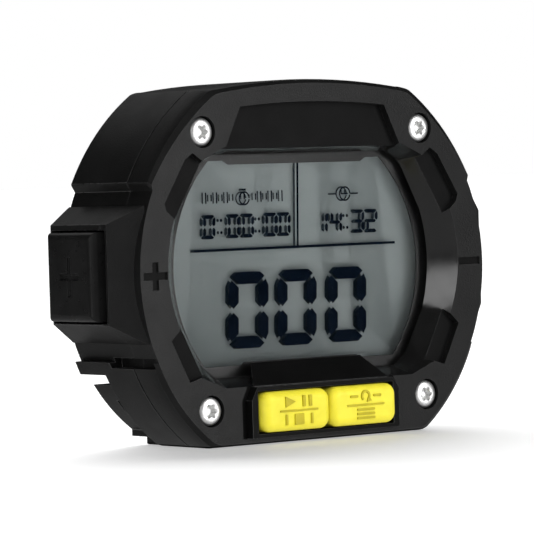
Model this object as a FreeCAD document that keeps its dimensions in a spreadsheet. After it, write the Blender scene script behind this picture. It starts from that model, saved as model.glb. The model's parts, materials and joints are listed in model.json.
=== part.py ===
import FreeCAD, Part
import math
import os
import Sketcher

# Digital stopwatch timer. Millimetres, +X to the right of a person who reads the display,
# +Y to the back, +Z up. The origin is on the surface that the timer stands on, below its middle.
# Depths count backwards from the flat front face of the bezel.

DIMENSIONS = {
    # whole case
    "face_y": -10.9,
    "mid_height": 35.7,
    "bevel_depth": 2.6,
    "bevel_middle": 0.76,
    "bevel_share": 0.71,
    "split_depth": 7.0,
    "seam_width": 0.4,
    "seam_share": 0.7,
    "rear_depth": 25.3,
    "skin": 1.6,
    # outline of the front face, right half from the bottom up
    "toe_x": 25.2,
    "toe_z": 0.7,
    "toe_end_x": 27.6,
    "toe_end_z": 1.4,
    "toe_radius": 4.0,
    "lower_arch_radius": 38.0,
    "side_low_x": 40.2,
    "side_low_z": 17.3,
    "side_radius": 39.2,
    "side_high_x": 40.45,
    "side_high_z": 50.4,
    "shoulder_x": 40.7,
    "shoulder_z": 51.5,
    "arch_radius": 54.0,
    "brow_x": 25.4,
    "brow_z": 68.1,
    "brow_radius": 5.0,
    "crown_x": 23.2,
    "crown_z": 68.9,
    "crown_radius": 150.0,
    # outline of the case behind its rounded shoulder, likewise
    "wall_toe_x": 26.0,
    "wall_toe_z": 0.0,
    "wall_toe_end_x": 28.7,
    "wall_toe_end_z": 0.6,
    "wall_toe_radius": 4.6,
    "wall_lower_radius": 39.5,
    "wall_low_x": 41.7,
    "wall_low_z": 17.3,
    "wall_side_radius": 40.5,
    "wall_side_x": 41.2,
    "wall_side_z": 50.6,
    "wall_shoulder_x": 41.3,
    "wall_shoulder_z": 52.1,
    "wall_arch_radius": 44.6,
    "wall_brow_x": 26.3,
    "wall_brow_z": 69.4,
    "wall_brow_radius": 5.6,
    "wall_crown_x": 23.7,
    "wall_crown_z": 69.9,
    "wall_crown_radius": 170.0,
    # recessed side panels
    "panel_top_x": 41.6,
    "panel_top_z": 52.3,
    "panel_far_x": 60.0,
    # side bulges that carry the side keys
    "bulge_root_x": 42.0,
    "bulge_top_x": 48.0,
    "bulge_root_depth": 0.75,
    "bulge_top_depth": 5.1,
    "bulge_top_end": 23.4,
    "bulge_root_low": 21.0,
    "bulge_root_high": 47.65,
    "bulge_top_low": 24.9,
    "bulge_top_high": 44.2,
    # shadow slot over the skirt
    "slot_x": 38.6,
    "slot_low": 16.2,
    "slot_high": 18.2,
    "slot_start": 0.6,
    "slot_end": 14.0,
    # inside of the shells, right half from the bottom up
    "hollow_toe_x": 25.0,
    "hollow_toe_z": 2.4,
    "hollow_side_low_x": 37.3,
    "hollow_side_low_z": 19.8,
    "hollow_side_x": 40.9,
    "hollow_side_from": 24.2,
    "hollow_side_to": 44.4,
    "hollow_side_high_x": 37.6,
    "hollow_side_high_z": 51.5,
    "hollow_brow_x": 24.5,
    "hollow_brow_z": 66.3,
    "hollow_crown_z": 67.8,
    "hollow_crown_x": 18.0,
    "hollow_depth": 4.7,
    # display opening at the face and at its end
    "mouth_toe_x": 24.0,
    "mouth_toe_z": 11.6,
    "mouth_low_x": 30.0,
    "mouth_low_z": 13.9,
    "mouth_side_low_x": 34.8,
    "mouth_side_low_z": 23.6,
    "mouth_side_radius": 27.5,
    "mouth_side_high_x": 35.5,
    "mouth_side_high_z": 44.7,
    "mouth_high_x": 28.3,
    "mouth_high_z": 55.9,
    "mouth_brow_x": 22.5,
    "mouth_brow_z": 58.5,
    "throat_toe_x": 23.0,
    "throat_toe_z": 13.4,
    "throat_low_x": 26.6,
    "throat_low_z": 16.2,
    "throat_side_low_z": 24.5,
    "throat_side_x": 31.2,
    "throat_side_high_z": 45.0,
    "throat_radius": 31.0,
    "throat_high_x": 25.9,
    "throat_high_z": 55.0,
    "throat_brow_x": 22.0,
    "throat_brow_z": 57.0,
    # blank name panel over the display
    "badge_low_x": 22.5,
    "badge_low_z": 58.0,
    "badge_high_x": 18.5,
    "badge_high_z": 66.2,
    "badge_radius": 190.0,
    "badge_depth": 1.7,
    # four recesses in the rim
    "recess_depth": 1.5,
    "upper_recess_ax": 32.5,
    "upper_recess_az": 56.1,
    "upper_recess_bx": 30.5,
    "upper_recess_bz": 57.4,
    "upper_recess_cx": 26.3,
    "upper_recess_cz": 54.5,
    "upper_recess_dx": 33.3,
    "upper_recess_dz": 43.0,
    "upper_recess_ex": 37.3,
    "upper_recess_ez": 46.4,
    "upper_recess_fx": 37.7,
    "upper_recess_fz": 47.8,
    "lower_recess_ax": 32.8,
    "lower_recess_az": 13.2,
    "lower_recess_bx": 37.0,
    "lower_recess_bz": 21.4,
    "lower_recess_cx": 33.4,
    "lower_recess_cz": 24.8,
    "lower_recess_dx": 27.8,
    "lower_recess_dz": 14.6,
    # engraved signs
    "rim_sign_x": 40.35,
    "rim_sign_z": 34.0,
    "rim_sign_width": 5.8,
    "rim_sign_height": 5.4,
    "rim_sign_bar": 1.5,
    "rim_sign_depth": 0.45,
    "key_sign_width": 6.2,
    "key_sign_height": 7.6,
    "key_sign_bar": 1.1,
    "key_sign_depth": 0.4,
    # case screws
    "upper_screw_x": 27.9,
    "upper_screw_z": 61.4,
    "lower_screw_x": 27.75,
    "lower_screw_z": 7.35,
    "head_radius": 2.85,
    "head_edge_radius": 2.3,
    "head_front": 0.15,
    "head_edge": 0.7,
    "head_seat": 2.1,
    "counterbore_radius": 3.1,
    "screw_radius": 1.5,
    "screw_clearance": 1.7,
    "screw_end": 10.5,
    "socket_radius": 1.55,
    "socket_depth": 1.3,
    "boss_radius": 3.6,
    "insert_radius": 2.1,
    "boss_gap": 0.1,
    "insert_end": 9.5,
    "boss_pilot_end": 14.0,
    # front keys and their surround
    "surround_x": 20.4,
    "surround_low": 1.5,
    "surround_high": 11.5,
    "surround_thick": 2.4,
    "surround_lip": 0.8,
    "frame_x": 18.9,
    "frame_proud": 1.5,
    "frame_corner_x": 17.5,
    "frame_corner_z": 8.9,
    "frame_step": 1.3,
    "frame_step_depth": 0.4,
    "surround_gap": 0.1,
    "window_x": 17.4,
    "window_low": 2.25,
    "window_high": 10.65,
    "ramp_front_x": 17.3,
    "ramp_rear_x": 14.1,
    "ramp_high": 16.0,
    "ramp_end": 4.6,
    "ramp_lip": 0.1,
    "front_key_inner": 0.15,
    "front_key_outer": 17.1,
    "front_key_low": 2.5,
    "front_key_high": 10.4,
    "front_key_proud": 3.5,
    "front_key_corner": 2.2,
    "front_key_round": 1.8,
    "front_flange_x": 19.6,
    "front_flange_low": 1.75,
    "front_flange_high": 11.3,
    "front_flange_start": 2.9,
    "front_flange_end": 3.7,
    "front_stem_radius": 1.3,
    "front_switch_x": 8.7,
    "front_switch_z": 6.5,
    # key switches
    "switch_width": 6.0,
    "switch_height": 3.4,
    "plunger_radius": 1.6,
    "plunger_bore": 1.65,
    "plunger_reach": 0.8,
    "plunger_hidden": 0.5,
    "plunger_bore_depth": 1.5,
    "spring_radius": 2.4,
    "spring_wire": 0.4,
    "spring_turns": 3.0,
    # side keys
    "side_key_front": 7.35,
    "side_key_rear": 22.6,
    "side_key_low": 25.5,
    "side_key_high": 42.8,
    "side_key_x": 50.0,
    "side_key_round": 1.6,
    "side_key_gap": 0.35,
    "side_notch_x": 45.5,
    "side_notch_depth": 5.7,
    "side_opening_x": 39.9,
    "side_flange_in": 39.3,
    "side_flange_out": 40.3,
    "side_flange_lap": 0.6,
    "side_stem_radius": 1.5,
    "side_switch_x": 33.9,
    "side_switch_z": 34.2,
    "side_switch_depth": 15.0,
    # lens, printed border and display
    "lens_front": 5.0,
    "lens_rear": 6.2,
    "lens_toe_x": 26.8,
    "lens_low": 12.0,
    "lens_side_x": 35.3,
    "lens_side_low": 19.9,
    "lens_side_high": 51.0,
    "lens_brow_x": 24.2,
    "lens_high": 59.3,
    "border_rear": 6.4,
    "view_toe_x": 24.3,
    "view_low": 15.5,
    "view_radius": 29.1,
    "view_brow_x": 22.0,
    "view_high": 55.8,
    "view_bar_x": 17.0,
    "view_bar_end_x": 18.4,
    "view_bar_z": 55.0,
    "view_block_x": 14.5,
    "view_block_end_x": 15.1,
    "view_block_z": 16.1,
    "glass_front": 6.45,
    "glass_thick": 1.1,
    "glass_joint": 0.05,
    "glass_inset": 1.4,
    "glass_play": 0.05,
    "rear_glass_toe_x": 27.4,
    "rear_glass_low": 15.4,
    "gasket_toe_x": 26.6,
    "gasket_low": 13.4,
    "gasket_side_x": 33.6,
    "gasket_side_low": 23.5,
    "gasket_side_high": 46.0,
    "gasket_brow_x": 23.0,
    "gasket_high": 58.0,
    "reflector_thick": 0.2,
    "zebra_x": 24.0,
    "zebra_low": 13.7,
    "zebra_high": 15.1,
    # circuit board
    "board_front": 9.8,
    "board_rear": 11.0,
    "board_foot_x": 23.0,
    "board_low": 3.2,
    "board_neck_z": 12.6,
    "board_waist_x": 31.0,
    "board_waist_z": 17.5,
    "board_side_x": 37.8,
    "board_side_low": 21.5,
    "board_side_high": 48.4,
    "board_brow_x": 23.8,
    "board_high": 57.4,
    "ear_start_x": 34.8,
    "ear_end_x": 38.0,
    "ear_height": 5.0,
    "board_screw_x": 36.2,
    "board_screw_low": 24.1,
    "board_screw_high": 45.4,
    "board_screw_head": 1.5,
    "board_screw_head_thick": 1.0,
    "board_screw_radius": 0.8,
    "board_screw_tip": 7.6,
    "chip_radius": 5.0,
    "chip_rear_radius": 4.0,
    "chip_thick": 1.3,
    "chip_z": 31.0,
    "crystal_radius": 1.0,
    "crystal_length": 6.0,
    "crystal_x": 10.0,
    "crystal_z": 22.5,
    "capacitor_x": 10.0,
    "capacitor_pitch": 3.4,
    "capacitor_width": 2.0,
    "capacitor_height": 1.25,
    "capacitor_z": 27.5,
    "buzzer_x": -16.0,
    "buzzer_z": 28.0,
    "buzzer_radius": 7.0,
    "buzzer_height": 4.0,
    "buzzer_port": 1.2,
    # batteries: two AAA cells side by side
    "cell_radius": 5.25,
    "cell_length": 43.3,
    "cell_nub": 1.0,
    "cell_nub_radius": 1.9,
    "cell_depth": 18.0,
    "cell_low_z": 48.2,
    "cell_high_z": 59.4,
    "tub_x": 24.1,
    "tub_low": 42.6,
    "tub_high": 65.0,
    "tub_front": 12.6,
    "tub_shell_front": 11.5,
    "tub_wall": 1.1,
    "contact_thick": 0.4,
    "contact_width": 7.0,
    # battery door
    "door_x": 25.5,
    "door_low": 41.5,
    "door_high": 66.5,
    "door_front": 24.2,
    "door_play": 0.2,
    "door_seal_front": 23.8,
    "door_ear_x": 28.0,
    "door_ear_z": 53.8,
    "door_ear_radius": 3.4,
    "door_screw_seat": 2.2,
    "door_screw_head": 2.1,
    "door_screw_head_thick": 0.7,
    "door_screw_radius": 1.0,
    "door_screw_play": 1.06,
    "door_screw_tip": 18.0,
    "door_boss_radius": 3.2,
    "door_boss_front": 16.5,
    "door_slot_width": 0.6,
    "door_slot_depth": 0.35,
    "door_groove_width": 1.0,
    "door_groove_pitch": 2.0,
    "door_groove_low": 43.5,
    "door_groove_high": 47.5,
    "door_groove_depth": 0.35,
    # fold-out stand
    "hinge_depth": 23.1,
    "hinge_z": 37.6,
    "barrel_radius": 1.9,
    "barrel_bore": 1.06,
    "trough_radius": 2.3,
    "pin_radius": 1.0,
    "pin_x": 23.5,
    "stand_x": 20.0,
    "stand_front": 22.7,
    "stand_rear": 25.0,
    "stand_well_x": 20.6,
    "stand_well_floor": 22.3,
    "stand_housing_x": 25.2,
    "body_underside": 14.7,
    "body_underside_rear": 17.0,
    "foot_front": 17.6,
    "foot_rear": 24.7,
    "foot_high": 12.6,
    "foot_high_x": 37.9,
    "foot_toe_x": 26.8,
    "foot_low": 1.8,
    "foot_wall": 1.7,
    "chamber_high_x": 35.5,
    "foot_rib": 1.2,
    "foot_rib_front": 18.6,
    "foot_rib_pitch": 9.4,
    "foot_slot_low": 4.6,
    "foot_slot_high": 9.4,
    "foot_slot_end": 20.4,
    "pad_x": 18.0,
    "pad_length": 8.0,
    "pad_inset": 1.0,
}

doc = FreeCAD.newDocument("stopwatch_timer")
sheet = doc.addObject("Spreadsheet::Sheet", "sizes")
for row, (alias, amount) in enumerate(DIMENSIONS.items(), start=1):
    cell = "A%d" % row
    sheet.set(cell, str(amount))
    sheet.setAlias(cell, alias)
doc.recompute()

Vector = FreeCAD.Vector
Rotation = FreeCAD.Rotation
UPRIGHT = Rotation()
ALONG_X = Rotation(Vector(0, 1, 0), 90)
ALONG_Y = Rotation(Vector(1, 0, 0), -90)
SIDES = (1, -1)
SMALLEST_CUT = 0.01
NEAR = 0.001


class Size:
    """A length that carries its value and the spreadsheet expression that gives it."""

    def __init__(self, value, text):
        self.value = value
        self.text = text

    def __add__(self, other):
        other = as_size(other)
        return Size(self.value + other.value, "(%s + %s)" % (self.text, other.text))

    def __sub__(self, other):
        other = as_size(other)
        return Size(self.value - other.value, "(%s - %s)" % (self.text, other.text))

    def __mul__(self, other):
        other = as_size(other)
        return Size(self.value * other.value, "(%s * %s)" % (self.text, other.text))

    def __truediv__(self, other):
        other = as_size(other)
        return Size(self.value / other.value, "(%s / %s)" % (self.text, other.text))

    def __neg__(self):
        return Size(-self.value, "(-1 * %s)" % self.text)


def as_size(amount):
    if isinstance(amount, Size):
        return amount
    return Size(float(amount), repr(float(amount)))


class Driving:
    """Reads a driving dimension from the spreadsheet by its alias."""

    def __getattr__(self, alias):
        return Size(float(sheet.get(alias)), "sizes." + alias)


S = Driving()


# ---------------------------------------------------------------- helpers

nodes = []


def keep(thing, label):
    """Names a finished sub-part and lists it for export."""
    thing.Label = label
    nodes.append(thing)
    return thing


def bind(thing, name, amount):
    thing.setExpression(name, as_size(amount).text)


def place(thing, x, y, z, turn=UPRIGHT):
    """Puts an object at a place whose coordinates follow the spreadsheet."""
    thing.Placement = FreeCAD.Placement(Vector(0, 0, 0), turn)
    for letter, amount in zip("xyz", (x, y, z)):
        bind(thing, "Placement.Base." + letter, amount)


def new_body(label):
    """A body whose own Y is the depth behind the front face."""
    body = keep(doc.addObject("PartDesign::Body", label), label)
    bind(body, "Placement.Base.y", S.face_y)
    return body


def sketch_at(body, depth):
    """A sketch parallel to the front face, at a depth behind it."""
    sketch = body.newObject("Sketcher::SketchObject", "sketch")
    face = [item for item in body.Origin.OriginFeatures if item.Role == "XZ_Plane"][0]
    sketch.AttachmentSupport = [(face, "")]
    sketch.MapMode = "FlatFace"
    bind(sketch, "AttachmentOffset.Base.z", -as_size(depth))
    return sketch


def segment(start, stop, radius):
    """A line, or an arc that bulges out of a counter-clockwise outline, or into it where radius < 0."""
    if radius is None:
        return Part.LineSegment(start, stop)
    if radius < 0:
        start, stop, radius = stop, start, -radius
    chord = stop - start
    middle = (start + stop) * 0.5
    inward = Vector(-chord.y, chord.x, 0).normalize()
    centre = middle + inward * math.sqrt(radius ** 2 - (chord.Length / 2) ** 2)
    first = math.atan2(start.y - centre.y, start.x - centre.x)
    last = math.atan2(stop.y - centre.y, stop.x - centre.x)
    while last < first:
        last += 2 * math.pi
    return Part.ArcOfCircle(Part.Circle(centre, Vector(0, 0, 1), radius), first, last)


def draw(sketch, corners):
    """Draws a closed counter-clockwise outline of (x, z, radius of the side to the next corner)."""
    corners = [(as_size(x), as_size(z), None if r is None else as_size(r)) for x, z, r in corners]
    points = [Vector(x.value, z.value, 0) for x, z, r in corners]
    first = sketch.GeometryCount
    count = len(corners)
    for index, (x, z, radius) in enumerate(corners):
        reach = None if radius is None else radius.value
        sketch.addGeometry(segment(points[index], points[(index + 1) % count], reach), False)
    inward = [radius is not None and radius.value < 0 for x, z, radius in corners]
    for index in range(count):
        following = (index + 1) % count
        end = 1 if inward[index] else 2
        begin = 2 if inward[following] else 1
        sketch.addConstraint(Sketcher.Constraint("Coincident", first + index, end, first + following, begin))
    for index, (x, z, radius) in enumerate(corners):
        side = first + index
        begin = 2 if inward[index] else 1
        hold(sketch, Sketcher.Constraint("DistanceX", -1, 1, side, begin, x.value), "x%d" % side, x)
        hold(sketch, Sketcher.Constraint("DistanceY", -1, 1, side, begin, z.value), "z%d" % side, z)
        if radius is not None:
            reach = -radius if inward[index] else radius
            hold(sketch, Sketcher.Constraint("Radius", side, reach.value), "r%d" % side, reach)


def hold(sketch, constraint, name, amount):
    index = sketch.addConstraint(constraint)
    sketch.renameConstraint(index, name)
    sketch.setExpression("Constraints." + name, amount.text)


def mirrored(half, top=None):
    """The whole outline from its right half, which is listed from the bottom up."""
    full = [list(corner) for corner in half]
    full[-1][2] = top
    for index in reversed(range(len(half))):
        x, z, radius = half[index]
        full.append([-as_size(x), z, half[index - 1][2] if index else None])
    return full


def on_side(side, corners):
    """A small outline of the right side, or its mirror image on the left."""
    if side > 0:
        return corners
    flipped = []
    for index in reversed(range(len(corners))):
        x, z, radius = corners[index]
        flipped.append((-as_size(x), z, corners[index - 1][2]))
    return flipped


def rectangle(low_x, high_x, low_z, high_z):
    return [(low_x, low_z, None), (high_x, low_z, None), (high_x, high_z, None), (low_x, high_z, None)]


def pad(body, outlines, start, end):
    """Material between two depths."""
    sketch = sketch_at(body, start)
    for outline in outlines:
        draw(sketch, outline)
    feature = body.newObject("PartDesign::Pad", "pad")
    feature.Profile = sketch
    feature.Reversed = True
    bind(feature, "Length", as_size(end) - start)
    return feature


def pocket(body, outlines, start, end):
    """Removes material between two depths, and makes sure that some went."""
    doc.recompute()
    before = body.Shape.Volume
    sketch = sketch_at(body, start)
    for outline in outlines:
        draw(sketch, outline)
    feature = body.newObject("PartDesign::Pocket", "pocket")
    feature.Profile = sketch
    bind(feature, "Length", as_size(end) - start)
    doc.recompute()
    if body.Shape.Volume > before - SMALLEST_CUT:
        raise RuntimeError("a pocket in %s cuts nothing" % body.Label)
    return feature


def loft(body, kind, first, start, last, end):
    """Straight walls from an outline at one depth to an outline at another."""
    ends = []
    for outline, depth in ((first, start), (last, end)):
        sketch = sketch_at(body, depth)
        draw(sketch, outline)
        ends.append(sketch)
    feature = body.newObject("PartDesign::%sLoft" % kind, "loft")
    feature.Profile = ends[0]
    feature.Sections = [ends[1]]
    feature.Ruled = True
    return feature


def block(body, kind, x, depth, z):
    """An additive or subtractive box given by its low and high ends along each axis."""
    feature = body.newObject("PartDesign::%sBox" % kind, "block")
    for name, (low, high) in zip(("Length", "Width", "Height"), (x, depth, z)):
        bind(feature, name, as_size(high) - low)
    place(feature, x[0], depth[0], z[0])
    return feature


def rod(body, kind, radius, start, length, turn):
    """An additive or subtractive cylinder from a start point along X or Y."""
    feature = body.newObject("PartDesign::%sCylinder" % kind, "rod")
    bind(feature, "Radius", radius)
    bind(feature, "Height", length)
    place(feature, *start, turn)
    return feature


def side_span(side, near, far):
    """Low and high X of something between two distances from the middle, on one side."""
    return (near, far) if side > 0 else (-as_size(far), -as_size(near))


def solid_box(x, depth, z):
    """A loose box; depths count from the front face."""
    box = doc.addObject("Part::Box", "box")
    for name, (low, high) in zip(("Length", "Width", "Height"), (x, depth, z)):
        bind(box, name, as_size(high) - low)
    place(box, x[0], as_size(depth[0]) + S.face_y, z[0])
    return box


def solid_rod(radius, x, depth, z, length, turn=ALONG_Y):
    rod_shape = doc.addObject("Part::Cylinder", "cylinder")
    bind(rod_shape, "Radius", radius)
    bind(rod_shape, "Height", length)
    place(rod_shape, x, as_size(depth) + S.face_y, z, turn)
    return rod_shape


def solid_cone(radius_1, radius_2, x, depth, z, length):
    cone = doc.addObject("Part::Cone", "cone")
    bind(cone, "Radius1", radius_1)
    bind(cone, "Radius2", radius_2)
    bind(cone, "Height", length)
    place(cone, x, as_size(depth) + S.face_y, z, ALONG_Y)
    return cone


def cut(base, tool):
    result = doc.addObject("Part::Cut", "cut")
    result.Base = base
    result.Tool = tool
    return result


def fuse(*shapes):
    result = doc.addObject("Part::MultiFuse", "fuse")
    result.Shapes = list(shapes)
    return result


def group(label, *shapes):
    result = doc.addObject("Part::Compound", label)
    result.Links = list(shapes)
    return keep(result, label)


def coil(label, start, axis, length, mean_radius):
    """A compression spring between its two ends. Its wire has eight flats in place of a round."""
    wire = S.spring_wire.value
    rise = length - wire
    helix = Part.makeHelix(rise / S.spring_turns.value, rise, mean_radius)
    flats = 8
    corners = []
    for index in range(flats + 1):
        angle = 2 * math.pi * (index % flats + 0.5) / flats
        corners.append(Vector(mean_radius + math.cos(angle) * wire / 2, 0, math.sin(angle) * wire / 2))
    section = Part.makePolygon(corners)
    feature = doc.addObject("Part::Feature", label)
    feature.Shape = Part.Wire(helix.Edges).makePipeShell([section], True, True)
    base = start + axis * (wire / 2)
    feature.Placement = FreeCAD.Placement(base, Rotation(Vector(0, 0, 1), axis))
    return keep(feature, label)


# ---------------------------------------------------------------- outlines

def case_half(share):
    """Right half of the case's outline: the flat face at share 0 and the wall behind it at share 1."""
    pairs = [
        ((S.toe_x, S.toe_z, S.toe_radius), (S.wall_toe_x, S.wall_toe_z, S.wall_toe_radius)),
        ((S.toe_end_x, S.toe_end_z, S.lower_arch_radius),
         (S.wall_toe_end_x, S.wall_toe_end_z, S.wall_lower_radius)),
        ((S.side_low_x, S.side_low_z, S.side_radius), (S.wall_low_x, S.wall_low_z, S.wall_side_radius)),
        ((S.side_high_x, S.side_high_z, None), (S.wall_side_x, S.wall_side_z, None)),
        ((S.shoulder_x, S.shoulder_z, S.arch_radius),
         (S.wall_shoulder_x, S.wall_shoulder_z, S.wall_arch_radius)),
        ((S.brow_x, S.brow_z, S.brow_radius), (S.wall_brow_x, S.wall_brow_z, S.wall_brow_radius)),
        ((S.crown_x, S.crown_z, None), (S.wall_crown_x, S.wall_crown_z, None)),
    ]
    return [[between(a, b, share) for a, b in zip(face, wall)] for face, wall in pairs]


def between(first, last, share):
    """The size at a share of the way from one size to another, or None where there is none."""
    if first is None:
        return None
    return first + (last - first) * share


def case_outline(share):
    return mirrored(case_half(share), between(S.crown_radius, S.wall_crown_radius, share))


def side_panel(side):
    """What is cut away beside the panel between the arch and the skirt."""
    return on_side(side, [
        (S.side_low_x, S.side_low_z, None),
        (S.panel_far_x, S.side_low_z, None),
        (S.panel_far_x, S.panel_top_z, None),
        (S.panel_top_x, S.panel_top_z, None),
        (S.side_high_x, S.side_high_z, -S.side_radius),
    ])


def hollow_outline():
    return mirrored([
        (S.hollow_toe_x, S.hollow_toe_z, None),
        (S.hollow_side_low_x, S.hollow_side_low_z, None),
        (S.hollow_side_x, S.hollow_side_from, None),
        (S.hollow_side_x, S.hollow_side_to, None),
        (S.hollow_side_high_x, S.hollow_side_high_z, None),
        (S.hollow_brow_x, S.hollow_brow_z, None),
        (S.hollow_crown_x, S.hollow_crown_z, None),
    ])


def lens_outline(inset=0.0):
    inset = as_size(inset)
    return mirrored([
        (S.lens_toe_x - inset, S.lens_low + inset, None),
        (S.lens_side_x - inset, S.lens_side_low + inset, None),
        (S.lens_side_x - inset, S.lens_side_high - inset, None),
        (S.lens_brow_x - inset, S.lens_high - inset, None),
    ])


def screw_places():
    for side in SIDES:
        yield S.upper_screw_x * side, S.upper_screw_z
        yield S.lower_screw_x * side, S.lower_screw_z


# ---------------------------------------------------------------- shells

def bulge(body, side, start_root, start_top, end_root, end_top):
    """The frustum on a side panel that carries the side key, between two depths."""
    feature = body.newObject("PartDesign::AdditiveWedge", "bulge")
    bind(feature, "Ymin", 0)
    bind(feature, "Ymax", S.bulge_top_x - S.bulge_root_x)
    bind(feature, "Zmin", S.bulge_root_low)
    bind(feature, "Zmax", S.bulge_root_high)
    bind(feature, "Z2min", S.bulge_top_low)
    bind(feature, "Z2max", S.bulge_top_high)
    root = (start_root, end_root)
    top = (start_top, end_top)
    if side > 0:
        root = (-as_size(end_root), -as_size(start_root))
        top = (-as_size(end_top), -as_size(start_top))
    bind(feature, "Xmin", root[0])
    bind(feature, "Xmax", root[1])
    bind(feature, "X2min", top[0])
    bind(feature, "X2max", top[1])
    place(feature, S.bulge_root_x * side, 0, 0, Rotation(Vector(0, 0, 1), -90 * side))
    return feature


def front_bezel():
    body = new_body("front_bezel")
    shoulder = case_outline(S.bevel_share)
    loft(body, "Additive", case_outline(0), 0, shoulder, S.bevel_middle)
    loft(body, "Additive", shoulder, S.bevel_middle, case_outline(1), S.bevel_depth)
    pad(body, [case_outline(1)], S.bevel_depth, S.split_depth - S.seam_width)
    pad(body, [case_outline(S.seam_share)], S.split_depth - S.seam_width, S.split_depth)
    for side in SIDES:
        pocket(body, [side_panel(side)], 0, S.split_depth)
    for side in SIDES:
        bulge(body, side, S.bulge_root_depth, S.bulge_top_depth, S.split_depth, S.split_depth)
        notch = side_span(side, S.side_notch_x, S.panel_far_x)
        key_band = (S.side_key_low - S.side_key_gap, S.side_key_high + S.side_key_gap)
        block(body, "Subtractive", notch, (S.side_notch_depth, S.split_depth), key_band)
        slot = side_span(side, S.slot_x, S.panel_far_x)
        block(body, "Subtractive", slot, (S.slot_start, S.split_depth), (S.slot_low, S.slot_high))
    pocket(body, [hollow_outline()], S.hollow_depth, S.split_depth)
    for x, z in screw_places():
        rod(body, "Subtractive", S.boss_radius + S.boss_gap, (x, S.hollow_depth, z),
            S.split_depth - S.hollow_depth, ALONG_Y)
    mouth = mirrored([
        (S.mouth_toe_x, S.mouth_toe_z, None),
        (S.mouth_low_x, S.mouth_low_z, None),
        (S.mouth_side_low_x, S.mouth_side_low_z, S.mouth_side_radius),
        (S.mouth_side_high_x, S.mouth_side_high_z, None),
        (S.mouth_high_x, S.mouth_high_z, None),
        (S.mouth_brow_x, S.mouth_brow_z, None),
    ])
    throat = mirrored([
        (S.throat_toe_x, S.throat_toe_z, None),
        (S.throat_low_x, S.throat_low_z, None),
        (S.throat_side_x, S.throat_side_low_z, S.throat_radius),
        (S.throat_side_x, S.throat_side_high_z, None),
        (S.throat_high_x, S.throat_high_z, None),
        (S.throat_brow_x, S.throat_brow_z, None),
    ])
    loft(body, "Subtractive", mouth, 0, throat, S.hollow_depth)
    keypad_opening(body)
    badge = mirrored([(S.badge_low_x, S.badge_low_z, None), (S.badge_high_x, S.badge_high_z, None)],
                     S.badge_radius)
    pocket(body, [badge], 0, S.badge_depth)
    for side in SIDES:
        upper = [(S.upper_recess_ax, S.upper_recess_az, None), (S.upper_recess_bx, S.upper_recess_bz, None),
                 (S.upper_recess_cx, S.upper_recess_cz, None), (S.upper_recess_dx, S.upper_recess_dz, None),
                 (S.upper_recess_ex, S.upper_recess_ez, None), (S.upper_recess_fx, S.upper_recess_fz, None)]
        lower = [(S.lower_recess_ax, S.lower_recess_az, None), (S.lower_recess_bx, S.lower_recess_bz, None),
                 (S.lower_recess_cx, S.lower_recess_cz, None), (S.lower_recess_dx, S.lower_recess_dz, None)]
        for recess in (upper, lower):
            pocket(body, [on_side(side, recess)], 0, S.recess_depth)
        rim_sign(body, side)
    for x, z in screw_places():
        rod(body, "Subtractive", S.counterbore_radius, (x, 0, z), S.head_seat, ALONG_Y)
        rod(body, "Subtractive", S.screw_clearance, (x, 0, z), S.split_depth, ALONG_Y)


def keypad_opening(body):
    """The opening for the keys' frame, its shallow step, the seat behind it and the ramp's slope."""
    gap = S.surround_gap
    pocket(body, [frame_outline(S.frame_step)], 0, S.frame_step_depth)
    pocket(body, [frame_outline(gap)], 0, S.hollow_depth)
    seat = S.surround_x + gap
    seat_band = rectangle(-seat, seat, S.surround_low - gap, S.surround_high + gap)
    pocket(body, [seat_band], S.surround_lip, S.hollow_depth)
    front = S.ramp_front_x + gap
    rear = S.ramp_rear_x + gap
    loft(body, "Subtractive", rectangle(-front, front, S.surround_high, S.ramp_high), 0,
         rectangle(-rear, rear, S.surround_high, S.ramp_high), S.hollow_depth)


def frame_outline(grow):
    """Outline of the raised frame round the front keys, with its upper corners cut off."""
    return mirrored([
        (S.frame_x + grow, S.surround_low - S.surround_gap, None),
        (S.frame_x + grow, S.frame_corner_z, None),
        (S.frame_corner_x + grow, S.surround_high + S.surround_gap, None),
    ])


def rim_sign(body, side):
    """A minus sign on the right of the rim and a plus sign on the left."""
    middle = S.rim_sign_x * side
    half_bar = S.rim_sign_bar / 2
    half_width = S.rim_sign_width / 2
    depth = (0, S.rim_sign_depth)
    block(body, "Subtractive", (middle - half_width, middle + half_width), depth,
          (S.rim_sign_z - half_bar, S.rim_sign_z + half_bar))
    if side < 0:
        half_height = S.rim_sign_height / 2
        block(body, "Subtractive", (middle - half_bar, middle + half_bar), depth,
              (S.rim_sign_z - half_height, S.rim_sign_z + half_height))


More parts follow.
